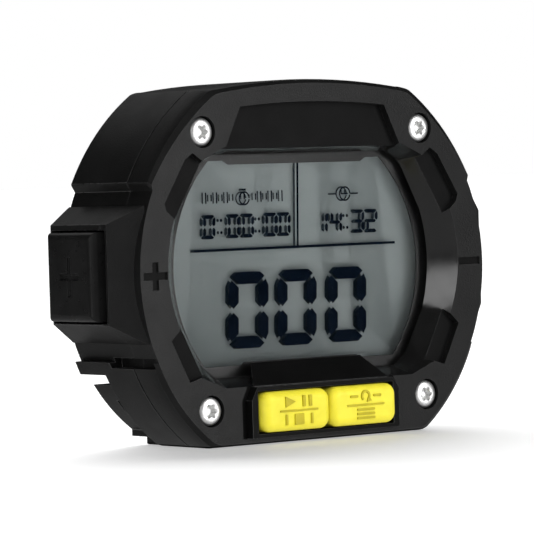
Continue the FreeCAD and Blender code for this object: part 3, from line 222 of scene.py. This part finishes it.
def display_back(name, pale, deep):
    """The grey reflector of the display, with its fine metallic grain."""
    look = Look(name, 0.7, specular=0.2)
    look.colours(look.noise(30.0, 1.0), (0.3, deep), (0.7, pale))
    look.roughness(look.noise(0.2), 0.6, 0.8)
    look.bump((look.noise(0.08), 0.15, 0.004))
    return look.material


def display_ink(name, colour):
    look = Look(name, 0.75, specular=0.02)
    look.colours(look.noise(2.5), (0.3, tuple(0.7 * c for c in colour)), (0.7, colour))
    look.roughness(look.noise(0.4), 0.7, 0.8)
    look.bump((look.noise(0.1), 0.05, 0.002))
    return look.material


def ink_shadow(name, colour, alpha):
    """A painted shadow: the soft dark copy of the display's figures that stands just in front of the
    reflector, where their shadow falls.
    """
    look = Look(name, 0.6, specular=0.1)
    look.colours(look.noise(2.5), (0.3, tuple(0.8 * c for c in colour)), (0.7, colour))
    look.roughness(look.noise(0.4), 0.5, 0.7)
    look.set("Alpha", alpha)
    look.material.surface_render_method = "BLENDED"
    return look.material


def speckled(name, first, second, size, rough):
    """Board, ceramic and moulded parts: two tones in small lumps."""
    look = Look(name, rough, specular=0.4)
    look.colours(look.noise(size, 4.0), (0.35, first), (0.65, second))
    look.roughness(look.noise(size * 2.0), rough - 0.08, rough + 0.08)
    look.bump((look.noise(size * 0.5), 0.2, 0.01))
    return look.material


def wrapped_cell(name):
    """Shrink film on the cells: a dark body and a copper-coloured end."""
    look = Look(name, 0.32, specular=0.5)
    gradient = look.tree.nodes.new("ShaderNodeSeparateXYZ")
    look.tree.links.new(look.place, gradient.inputs["Vector"])
    span = look.tree.nodes.new("ShaderNodeMapRange")
    low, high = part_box("battery_cell_lower")
    span.inputs["From Min"].default_value = low.x
    span.inputs["From Max"].default_value = high.x
    look.tree.links.new(gradient.outputs["X"], span.inputs["Value"])
    look.colours(span.outputs["Result"], (0.0, (0.012, 0.014, 0.018)), (0.7, (0.015, 0.017, 0.02)),
                 (0.74, (0.45, 0.2, 0.07)))
    look.roughness(look.noise(3.0, 4.0), 0.26, 0.4)
    look.bump((look.noise(4.0), 0.1, 0.02))
    return look.material


SHELL = moulded_plastic("black_shell", 0.0055, 0.4, 0.3, 0.06, 0.15)
# A darker, duller copy of the shell plastic; its darker colour is painted shade on the floors sunk into
# the bezel face, and the button surround wears it too.
SUNK = moulded_plastic("sunk_faces", 0.003, 0.5, 0.3, 0.03, 0.06)
# The shell's rounded edges in a paler colour: a painted highlight.
EDGE = edge_painted_highlight("shell_edge_painted_highlight", 0.016, 0.26)
GLOSS = gloss_plastic("polished_reveal", 0.004)
SIDE_RUBBER = rubber("side_key_rubber", 0.006, 0.28)
SEAL_RUBBER = rubber("seal_rubber", 0.014, 0.6)
YELLOW = silicone("yellow_silicone", (0.7, 0.62, 0.034), (0.63, 0.56, 0.026))
# The raised signs in a darker copy of the keys' yellow silicone: painted shade on their relief.
SHADED_SIGN_YELLOW = silicone("yellow_signs", (0.42, 0.35, 0.003), (0.36, 0.3, 0.003))
STEEL = metal("satin_steel", (0.9, 0.9, 0.89), (0.74, 0.74, 0.74), 0.4, (4.0, 1.0, 1.0))
BRASS = metal("insert_brass", (0.72, 0.5, 0.2), (0.5, 0.34, 0.13), 0.32, (1.0, 5.0, 1.0))
SPRING = metal("spring_steel", (0.6, 0.6, 0.62), (0.4, 0.4, 0.42), 0.28, (3.0, 3.0, 1.0))
LENS = clear("clear_lens", (0.006, 0.007, 0.007), 0.03, 0.04)
GLASS = clear("display_glass", (0.004, 0.008, 0.008), 0.03, 0.05)
BORDER = printed_black("border_print")
REFLECTOR = display_back("display_reflector", (0.36, 0.4, 0.4), (0.32, 0.362, 0.364))
INK = display_ink("display_ink", (0.0008, 0.003, 0.008))
INK_SHADOW = ink_shadow("display_ink_shadow", (0.004, 0.014, 0.026), 0.55)
BOARD = speckled("board_laminate", (0.008, 0.07, 0.03), (0.012, 0.11, 0.045), 1.6, 0.42)
CHIP = speckled("chip_epoxy", (0.007, 0.007, 0.008), (0.014, 0.014, 0.015), 0.6, 0.5)
CRYSTAL = metal("crystal_can", (0.66, 0.66, 0.64), (0.5, 0.5, 0.48), 0.22, (5.0, 1.0, 1.0))
CERAMIC = speckled("capacitor_ceramic", (0.4, 0.28, 0.17), (0.5, 0.36, 0.22), 0.4, 0.5)
SWITCH = speckled("switch_plastic", (0.01, 0.01, 0.011), (0.02, 0.02, 0.021), 0.7, 0.4)
PLUNGER = speckled("plunger_plastic", (0.5, 0.48, 0.42), (0.62, 0.6, 0.54), 0.8, 0.45)
HOLDER = speckled("holder_plastic", (0.012, 0.012, 0.013), (0.02, 0.02, 0.021), 2.0, 0.5)
CELL = wrapped_cell("cell_jacket")

SLOT_LOOKS = {
    "shell": SHELL,
    "side_key_rubber": SIDE_RUBBER,
    "yellow_silicone": YELLOW,
    "screw_steel": STEEL,
    "insert_brass": BRASS,
    "clear_lens": LENS,
    "border_print": BORDER,
    "lcd_glass": GLASS,
    "reflector": REFLECTOR,
    "holder_plastic": HOLDER,
    "seal_rubber": SEAL_RUBBER,
    "board_laminate": BOARD,
    "chip_epoxy": CHIP,
    "crystal_can": CRYSTAL,
    "capacitor_ceramic": CERAMIC,
    "switch_plastic": SWITCH,
    "plunger_plastic": PLUNGER,
    "spring_steel": SPRING,
    "cell_jacket": CELL,
}


NODE_SLOT = {part["node"]: part["material_slot"] for part in frame["record"]["subparts"]}
NODE_BODY = {}
for body, members in frame["record"]["behaviour"]["bodies"].items():
    for member in members:
        NODE_BODY[member] = body

for node, thing in nodes.items():
    thing.data.materials.clear()
    thing.data.materials.append(SLOT_LOOKS[NODE_SLOT[node]])


# ---------------------------------------------------------------- pieces

def piece_from(bm, name, looks, body):
    """Turns a bmesh into a piece that rides on a body."""
    mesh = bpy.data.meshes.new(name)
    bm.to_mesh(mesh)
    bm.free()
    for look in looks:
        mesh.materials.append(look)
    piece = bpy.data.objects.new(name, mesh)
    bpy.context.scene.collection.objects.link(piece)
    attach(piece, body)
    return piece


SHARP_ANGLE = math.radians(28.0)


def soften(piece, width, edge_material=0, segments=3):
    """Rounds a piece's sharp edges by a width in mm and keeps its big faces flat."""
    bevel = piece.modifiers.new("rounding", "BEVEL")
    bevel.width = width * MM
    bevel.segments = segments
    bevel.limit_method = "ANGLE"
    bevel.angle_limit = SHARP_ANGLE
    bevel.material = edge_material
    bevel.miter_outer = "MITER_ARC"
    weigh = piece.modifiers.new("weigh", "WEIGHTED_NORMAL")
    weigh.keep_sharp = False
    weigh.weight = 100


WELD_DISTANCE = 0.002 * MM
FLAT_ANGLE = math.radians(0.6)


def copied(node):
    """A welded copy of a CAD node's mesh with its flat faces made whole."""
    bm = bmesh.new()
    bm.from_mesh(nodes[node].data)
    bmesh.ops.remove_doubles(bm, verts=bm.verts, dist=WELD_DISTANCE)
    bmesh.ops.dissolve_limit(bm, angle_limit=FLAT_ANGLE, verts=bm.verts, edges=bm.edges)
    for face in bm.faces:
        face.smooth = True
        face.material_index = 0
    return bm


def rounded(node, width, looks, sort=None):
    """A detailed piece that stands for a CAD node: the same shape, its edges in the last look."""
    bm = copied(node)
    if sort is not None:
        sort(bm)
    piece = piece_from(bm, node + "_piece", looks, NODE_BODY[node])
    soften(piece, width, edge_material=len(looks) - 1)
    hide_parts(node)


BEZEL_LOOKS = (SHELL, GLOSS, SUNK, EDGE)
FORWARD = -0.95
EDGEWISE = -0.05
TOWARDS_MIDDLE = 0.2
OPENING_MARGIN = 2 * MM
SUNK_FROM = 0.3 * MM
SUNK_TO = 2.5 * MM


def mark_bezel(bm):
    """Sets apart the polished walls of the display opening and the floors sunk into the face, which get
    painted shade: a darker, duller copy of the shell plastic.
    """
    low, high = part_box("lens_gasket")
    middle = (low + high) / 2
    for face in bm.faces:
        centre = face.calc_center_median()
        inward = middle - centre
        inward.y = 0
        across = low.x - OPENING_MARGIN < centre.x < high.x + OPENING_MARGIN
        wall = FORWARD < face.normal.y < EDGEWISE and face.normal.dot(inward.normalized()) > TOWARDS_MIDDLE
        if wall and across and centre.z > low.z - OPENING_MARGIN:
            face.material_index = BEZEL_LOOKS.index(GLOSS)
        if face.normal.y < FORWARD and SUNK_FROM < centre.y - FACE < SUNK_TO:
            face.material_index = BEZEL_LOOKS.index(SUNK)


def shells():
    rounded("front_bezel", 0.28, BEZEL_LOOKS, mark_bezel)
    rounded("main_case", 0.3, (SHELL, EDGE))
    rounded("button_surround", 0.2, (SUNK, EDGE))
    rounded("rear_stand", 0.25, (SHELL, EDGE))
    rounded("battery_door", 0.2, (SHELL, EDGE))
    rounded("stand_pads", 0.3, (SEAL_RUBBER, SEAL_RUBBER))
    rounded("door_screws", 0.12, (STEEL, STEEL))


# ---------------------------------------------------------------- keys

def prism(bm, outline, front, back):
    """A flat plate from an outline of (x, z) in mm between two depths in metres."""
    near = [bm.verts.new((x * MM, front, z * MM)) for x, z in outline]
    far = [bm.verts.new((x * MM, back, z * MM)) for x, z in outline]
    bm.faces.new(near)
    bm.faces.new(list(reversed(far)))
    count = len(outline)
    for index in range(count):
        following = (index + 1) % count
        bm.faces.new((near[index], far[index], far[following], near[following]))


def face_outwards(bm):
    bmesh.ops.recalc_face_normals(bm, faces=bm.faces)


def ring_outline(x, z, radius, turn_from=0.0, turn_to=360.0, steps=24):
    points = []
    for step in range(steps):
        angle = math.radians(turn_from + (turn_to - turn_from) * step / (steps - 1))
        points.append((x + radius * math.cos(angle), z + radius * math.sin(angle)))
    return points


def arc_band(x, z, radius, width, turn_from, turn_to, steps=24):
    """An open band that follows part of a circle."""
    outer = ring_outline(x, z, radius + width / 2, turn_from, turn_to, steps)
    inner = ring_outline(x, z, radius - width / 2, turn_from, turn_to, steps)
    return outer + list(reversed(inner))


def box_outline(x, z, width, height):
    return [(x - width / 2, z - height / 2), (x + width / 2, z - height / 2),
            (x + width / 2, z + height / 2), (x - width / 2, z + height / 2)]


EMBOSS = 0.3
SIGN_ROOT = 0.15
CAP_DEPTH = 3.0
SIGN_ROW = 1.75
KEY_SIGN_INSET = 1.2


def key_signs(label, x, z):
    """Raised signs of a front key: start above stop, or back above a list, with a bar between."""
    signs = [box_outline(x, z, 9.6, 0.35)]
    above = z + SIGN_ROW
    below = z - SIGN_ROW
    if label == "start_stop_key":
        signs.append([(x - 3.4, above - 1.1), (x - 0.9, above), (x - 3.4, above + 1.1)])
        signs.append(box_outline(x + 1.3, above, 0.75, 2.2))
        signs.append(box_outline(x + 2.9, above, 0.75, 2.2))
        signs.append(box_outline(x, below, 2.3, 2.1))
        signs.append(box_outline(x - 3.2, below, 0.5, 2.1))
        signs.append(box_outline(x + 3.2, below, 0.5, 2.1))
    else:
        signs.append(arc_band(x, above, 0.95, 0.45, -40.0, 230.0))
        signs.append([(x + 0.2, above - 1.25), (x + 1.5, above - 1.0), (x + 0.75, above + 0.05)])
        signs.append(box_outline(x - 3.0, above, 2.0, 0.45))
        signs.append(box_outline(x + 3.0, above, 2.0, 0.45))
        for row in (-0.85, 0.0, 0.85):
            signs.append(box_outline(x, below + row, 4.6, 0.42))
    return signs


def front_key(label):
    """A silicone key whose cap is pressed back by the height of its raised signs."""
    low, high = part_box(label)
    bm = copied(label)
    reach = CAP_DEPTH * MM
    for vertex in bm.verts:
        depth = vertex.co.y - low.y
        if depth < reach:
            vertex.co.y += EMBOSS * MM * (1.0 - depth / reach)
    face_outwards(bm)
    cap = piece_from(bm, label + "_piece", (YELLOW,), NODE_BODY[label])
    soften(cap, 0.34, segments=4)
    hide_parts(label)
    plate_low, plate_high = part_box("front_key_seal")
    side = -1 if low.x + high.x < 0 else 1
    middle_x = side * (plate_high.x / MM / 2 - KEY_SIGN_INSET)
    middle_z = (plate_low.z + plate_high.z) / MM / 2
    signs = bmesh.new()
    for outline in key_signs(label, middle_x, middle_z):
        prism(signs, outline, low.y, low.y + (EMBOSS + SIGN_ROOT) * MM)
    face_outwards(signs)
    emboss = piece_from(signs, label + "_signs", (SHADED_SIGN_YELLOW,), NODE_BODY[label])
    soften(emboss, 0.1, segments=2)


def keys():
    for label in ("start_stop_key", "reset_mode_key"):
        front_key(label)
    for label in ("plus_key", "minus_key"):
        rounded(label, 0.4, (SIDE_RUBBER, SIDE_RUBBER))


# ---------------------------------------------------------------- screws

LOBES = 6
TURN_STEPS = 72
CREASE_ANGLE = math.radians(35)


def screw_centres(node):
    """Centre line (x, z) of each screw of a node with one screw in each corner."""
    low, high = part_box(node)
    middle = (low + high) / 2
    corners = {}
    for vertex in nodes[node].data.vertices:
        corner = (vertex.co.x > middle.x, vertex.co.z > middle.z)
        corners.setdefault(corner, []).append(vertex.co)
    centres = []
    for corner in sorted(corners):
        xs = [co.x for co in corners[corner]]
        zs = [co.z for co in corners[corner]]
        centres.append(((min(xs) + max(xs)) / 2, (min(zs) + max(zs)) / 2))
    return centres


def ring(bm, x, z, depth, radius, wave=0.0):
    """A circle of vertices, or a six-lobed one where wave is not 0."""
    ring_verts = []
    for step in range(TURN_STEPS):
        angle = 2 * math.pi * step / TURN_STEPS
        reach = (radius + wave * math.cos(LOBES * angle)) * MM
        ring_verts.append(bm.verts.new((x + reach * math.cos(angle), FACE + depth * MM,
                                        z + reach * math.sin(angle))))
    return ring_verts


def screw(bm, x, z):
    """One pan-head screw: six-lobed socket, low dome, rim and shank, as (depth, radius, wave)."""
    profile = [
        (1.42, 0.95, 0.2), (0.3, 1.2, 0.2), (0.17, 1.3, 0.2), (0.13, 1.42, 0.17), (0.14, 1.7, 0.0),
        (0.2, 2.05, 0.0), (0.34, 2.4, 0.0), (0.55, 2.66, 0.0), (0.8, 2.8, 0.0), (1.05, 2.85, 0.0),
        (2.1, 2.85, 0.0), (2.1, 1.5, 0.0), (10.2, 1.5, 0.0), (10.5, 1.2, 0.0),
    ]
    rings = [ring(bm, x, z, depth, radius, wave) for depth, radius, wave in profile]
    for near, far in zip(rings, rings[1:]):
        for index in range(TURN_STEPS):
            following = (index + 1) % TURN_STEPS
            bm.faces.new((near[index], near[following], far[following], far[index]))
    bm.faces.new(rings[0])
    bm.faces.new(list(reversed(rings[-1])))


def bezel_screws():
    bm = bmesh.new()
    for x, z in screw_centres("bezel_screws"):
        screw(bm, x, z)
    face_outwards(bm)
    for face in bm.faces:
        face.smooth = len(face.verts) == 4
    for edge in bm.edges:
        if len(edge.link_faces) == 2 and edge.calc_face_angle() > CREASE_ANGLE:
            edge.smooth = False
    piece = piece_from(bm, "bezel_screws_piece", (STEEL,), "case")
    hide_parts("bezel_screws")


# ---------------------------------------------------------------- display

DIGIT_WIDTH = 10.1
DIGIT_HEIGHT = 15.1
COUNTER_LOW = -18.0
SMALL_WIDTH = 3.05
SMALL_HEIGHT = 4.75
SMALL_LOW = 3.85
SIGN_HEIGHT = 11.9
LEAN = 0.04
LIT = {"0": "abcdef", "1": "bc", "2": "abdeg", "3": "abcdg", "4": "bcfg"}


def segment_outlines():
    """The seven segments of one digit, from its lower left corner, in mm."""
    width, height = DIGIT_WIDTH, DIGIT_HEIGHT
    top = [(2.2, height), (width - 2.2, height), (width - 1.0, height - 0.9),
           (width - 2.8, height - 2.4), (2.8, height - 2.4), (1.0, height - 0.9)]
    left = [(0.72, height - 1.5), (2.55, height - 3.0), (2.55, height - 6.0),
            (1.25, height - 7.2), (0.0, height - 5.9), (0.0, height - 2.8)]
    middle = [(1.6, height / 2), (2.6, height / 2 + 1.1), (width - 2.6, height / 2 + 1.1),
              (width - 1.6, height / 2), (width - 2.6, height / 2 - 1.1), (2.6, height / 2 - 1.1)]
    return {
        "a": top,
        "b": [(width - x, z) for x, z in left],
        "c": [(width - x, height - z) for x, z in left],
        "d": [(x, height - z) for x, z in top],
        "e": [(x, height - z) for x, z in left],
        "f": left,
        "g": middle,
    }


def leaned(outline, x, z, width, height):
    """A digit's outline set at a place with its own size and the display's slight slant."""
    across = width / DIGIT_WIDTH
    up = height / DIGIT_HEIGHT
    return [(x + u * across + v * up * LEAN, z + v * up) for u, v in outline]


def display_marks():
    """Everything the display shows, as outlines in mm."""
    low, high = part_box("lcd_rear_glass")
    x = (low.x + high.x) / MM / 2
    z = (low.z + high.z) / MM / 2
    shapes = segment_outlines()
    marks = []

    def digit(figure, left, bottom, width, height):
        for name in LIT[figure]:
            marks.append(leaned(shapes[name], x + left, z + bottom, width, height))

    for left in (-17.2, -4.75, 8.35):
        digit("0", left, COUNTER_LOW, DIGIT_WIDTH, DIGIT_HEIGHT)
    for left in (-22.7, -16.55, -12.95, -7.05, -3.6):
        digit("0", left, SMALL_LOW, SMALL_WIDTH, SMALL_HEIGHT)
    for figure, left in (("1", 6.1), ("4", 9.85), ("3", 15.7), ("2", 19.3)):
        digit(figure, left, SMALL_LOW, SMALL_WIDTH, SMALL_HEIGHT)
    for dots in (-18.1, -8.55, 14.3):
        for height in (5.05, 7.45):
            marks.append(ring_outline(x + dots, z + height, 0.32, 0.0, 345.0, 16))
    marks.append([(x + 0.95, z + 1.75), (x + 1.45, z + 1.75), (x + 2.0, z + 18.7), (x + 1.5, z + 18.7)])
    marks.append(box_outline(x + 0.9, z + 1.6, 52.0, 0.5))
    marks.extend(stopwatch_sign(x - 12.1, z + SIGN_HEIGHT))
    marks.extend(clock_sign(x + 13.9, z + SIGN_HEIGHT))
    return marks


def stopwatch_sign(x, z):
    """A small stopwatch between two rows of ticks."""
    marks = [arc_band(x, z - 0.25, 1.25, 0.32, 0.0, 350.0), box_outline(x, z + 1.45, 0.9, 0.4),
             box_outline(x, z + 0.1, 0.28, 1.0)]
    for step in range(6):
        for side in (-1, 1):
            height = 2.2 if step % 2 else 1.3
            marks.append(box_outline(x + side * (2.9 + 1.35 * step), z, 0.3, height))
    return marks


def clock_sign(x, z):
    """A small clock face between two short bars."""
    marks = [arc_band(x, z, 1.35, 0.32, 0.0, 350.0), box_outline(x, z + 0.35, 0.28, 0.9),
             box_outline(x + 0.35, z, 0.9, 0.28)]
    for side in (-1, 1):
        marks.append(box_outline(x + side * 2.9, z, 1.2, 0.3))
    return marks


def printed_marks(name, look, front, back):
    """The display's marks as thin plates between two depths in metres."""
    bm = bmesh.new()
    for outline in display_marks():
        prism(bm, outline, front, back)
    face_outwards(bm)
    piece_from(bm, name, (look,), "case")


def display():
    """The marks between the two sheets of glass, and a painted shadow of them just in front of the
    reflector.
    """
    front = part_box("lcd_front_glass")[1].y
    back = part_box("lcd_rear_glass")[0].y
    slack = (back - front) / 5
    printed_marks("display_marks", INK, front + slack, back - slack)
    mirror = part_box("lcd_reflector")[0].y
    printed_marks("display_marks_painted_shadow", INK_SHADOW, mirror - 3 * slack, mirror - 2 * slack)


shells()
keys()
bezel_screws()
display()


# ---------------------------------------------------------------- stage, camera and light

def staged(name, corners, look):
    bm = bmesh.new()
    bm.faces.new([bm.verts.new(corner) for corner in corners])
    mesh = bpy.data.meshes.new(name)
    bm.to_mesh(mesh)
    bm.free()
    mesh.materials.append(look)
    thing = bpy.data.objects.new(name, mesh)
    bpy.context.scene.collection.objects.link(thing)
    thing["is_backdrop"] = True
    return thing


FLOOR_REACH = 40.0


def pale_floor():
    """A wide pale floor. The shell mirrors floor_glow in its place."""
    look = Look("pale_floor", 0.6, specular=0.1)
    look.colours(look.noise(90.0), (0.2, grey(0.9)), (0.8, grey(0.92)))
    look.roughness(look.noise(40.0), 0.55, 0.65)
    look.bump((look.noise(4.0), 0.02, 0.02))
    look.set("Emission Color", (1.0, 1.0, 1.0, 1.0)).set("Emission Strength", 0.42)
    corners = [(-FLOOR_REACH, -FLOOR_REACH, 0), (FLOOR_REACH, -FLOOR_REACH, 0),
               (FLOOR_REACH, FLOOR_REACH, 0), (-FLOOR_REACH, FLOOR_REACH, 0)]
    floor = staged("floor", corners, look.material)
    floor.location.z = cad_low.z
    floor.visible_glossy = False
    return floor


def white_surroundings():
    """A white room that is seen by the camera and lights nothing."""
    world = bpy.data.worlds.new("white_room")
    bpy.context.scene.world = world
    world.use_nodes = True
    background = world.node_tree.nodes["Background"]
    background.inputs["Color"].default_value = (1.0, 1.0, 1.0, 1.0)
    background.inputs["Strength"].default_value = 1.0
    world.cycles_visibility.diffuse = False
    world.cycles_visibility.glossy = False


def towards(azimuth, elevation):
    """Unit vector to a place round the object; azimuth 0 is in front and 90 is on its right."""
    a, e = math.radians(azimuth), math.radians(elevation)
    return Vector((math.sin(a) * math.cos(e), -math.cos(a) * math.cos(e), math.sin(e)))


def softbox(name, azimuth, elevation, distance, width, height, power):
    """A rectangular lamp that faces the object; lengths are metres and power is watts."""
    lamp = bpy.data.lights.new(name, "AREA")
    lamp.shape = "RECTANGLE"
    lamp.size = width
    lamp.size_y = height
    lamp.energy = power
    thing = bpy.data.objects.new(name, lamp)
    bpy.context.scene.collection.objects.link(thing)
    out = towards(azimuth, elevation)
    thing.location = MIDDLE + out * distance
    thing.rotation_mode = "QUATERNION"
    thing.rotation_quaternion = (-out).to_track_quat("-Z", "Y")
    thing.visible_camera = False
    return thing


GLOW_REACH = 1.0
GLOW_RADIANCE = 0.42
GLOW_LIFT = 0.5 * MM


def floor_glow():
    """A square lamp on the floor that faces up: the shell mirrors it as a dimmer floor."""
    lamp = bpy.data.lights.new("floor_glow", "AREA")
    lamp.size = GLOW_REACH
    lamp.energy = GLOW_RADIANCE * math.pi * GLOW_REACH ** 2
    thing = bpy.data.objects.new("floor_glow", lamp)
    bpy.context.scene.collection.objects.link(thing)
    thing.location = (0.0, 0.0, cad_low.z + GLOW_LIFT)
    thing.rotation_mode = "QUATERNION"
    thing.rotation_quaternion = Vector((0.0, 0.0, 1.0)).to_track_quat("-Z", "Y")
    thing.visible_camera = False
    return thing


def sky_light(name, azimuth, elevation, spread, strength):
    """A soft light from a wide patch of sky, spread degrees across, that no surface mirrors."""
    lamp = bpy.data.lights.new(name, "SUN")
    lamp.energy = strength
    lamp.angle = math.radians(spread)
    thing = bpy.data.objects.new(name, lamp)
    bpy.context.scene.collection.objects.link(thing)
    thing.rotation_mode = "QUATERNION"
    thing.rotation_quaternion = (-towards(azimuth, elevation)).to_track_quat("-Z", "Y")
    thing.visible_glossy = False
    return thing


def shine_on(lamp, things):
    """Lets a light reach only some things; every object still casts its shadow."""
    reached = bpy.data.collections.new("reached_by_" + lamp.name)
    for thing in things:
        reached.objects.link(thing)
    lamp.light_linking.receiver_collection = reached


def lights(floor):
    """Each sky light and the glow reach only the timer or only the floor; front_right spares the glass."""
    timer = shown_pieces()
    opaque = [thing for thing in timer if "lens" not in thing.name and "glass" not in thing.name]
    shine_on(sky_light("ceiling", 165.0, 64.0, 85.0, 2.1), timer)
    shine_on(sky_light("front", -10.0, 35.0, 60.0, 1.5), timer)
    shine_on(sky_light("over_floor", 152.0, 34.0, 80.0, 5.2), [floor])
    softbox("front_left", -53.0, 17.0, 0.8, 0.25, 0.35, 1.2)
    softbox("left", -80.0, 2.0, 0.8, 0.05, 0.4, 0.5)
    shine_on(softbox("front_right", 24.0, 8.0, 0.4, 0.2, 0.4, 1.3), opaque)
    softbox("back_top", 160.0, 38.0, 0.9, 0.6, 0.3, 0.35)
    shine_on(floor_glow(), timer)


CAMERA_AZIMUTH = -38.945
CAMERA_ELEVATION = 1.391
CAMERA_ROLL = math.radians(-1.75)
CAMERA_DISTANCE = 0.7204
AIM_FROM_FACE_FOOT = Vector((-3.6, 11.6, 34.4)) * MM
SENSOR_WIDTH = 36.0
FOCAL_LENGTH = 242.98


def camera():
    """The viewpoint: from the left of the display, level with it, through a long lens."""
    lens = bpy.data.cameras.new("camera")
    lens.sensor_width = SENSOR_WIDTH
    lens.lens = FOCAL_LENGTH
    lens.clip_start = 0.05
    lens.clip_end = 200.0
    thing = bpy.data.objects.new("camera", lens)
    bpy.context.scene.collection.objects.link(thing)
    out = towards(CAMERA_AZIMUTH, CAMERA_ELEVATION)
    aim = Vector((0.0, FACE, cad_low.z)) + AIM_FROM_FACE_FOOT
    thing.location = aim + out * CAMERA_DISTANCE
    turn = (-out).to_track_quat("-Z", "Y").to_matrix() @ Matrix.Rotation(CAMERA_ROLL, 3, "Z")
    thing.rotation_mode = "QUATERNION"
    thing.rotation_quaternion = turn.to_quaternion()
    bpy.context.scene.camera = thing


floor = pale_floor()
white_surroundings()
lights(floor)
camera()
bpy.context.scene.view_settings.view_transform = "Standard"
bpy.context.scene.cycles.transparent_max_bounces = 24
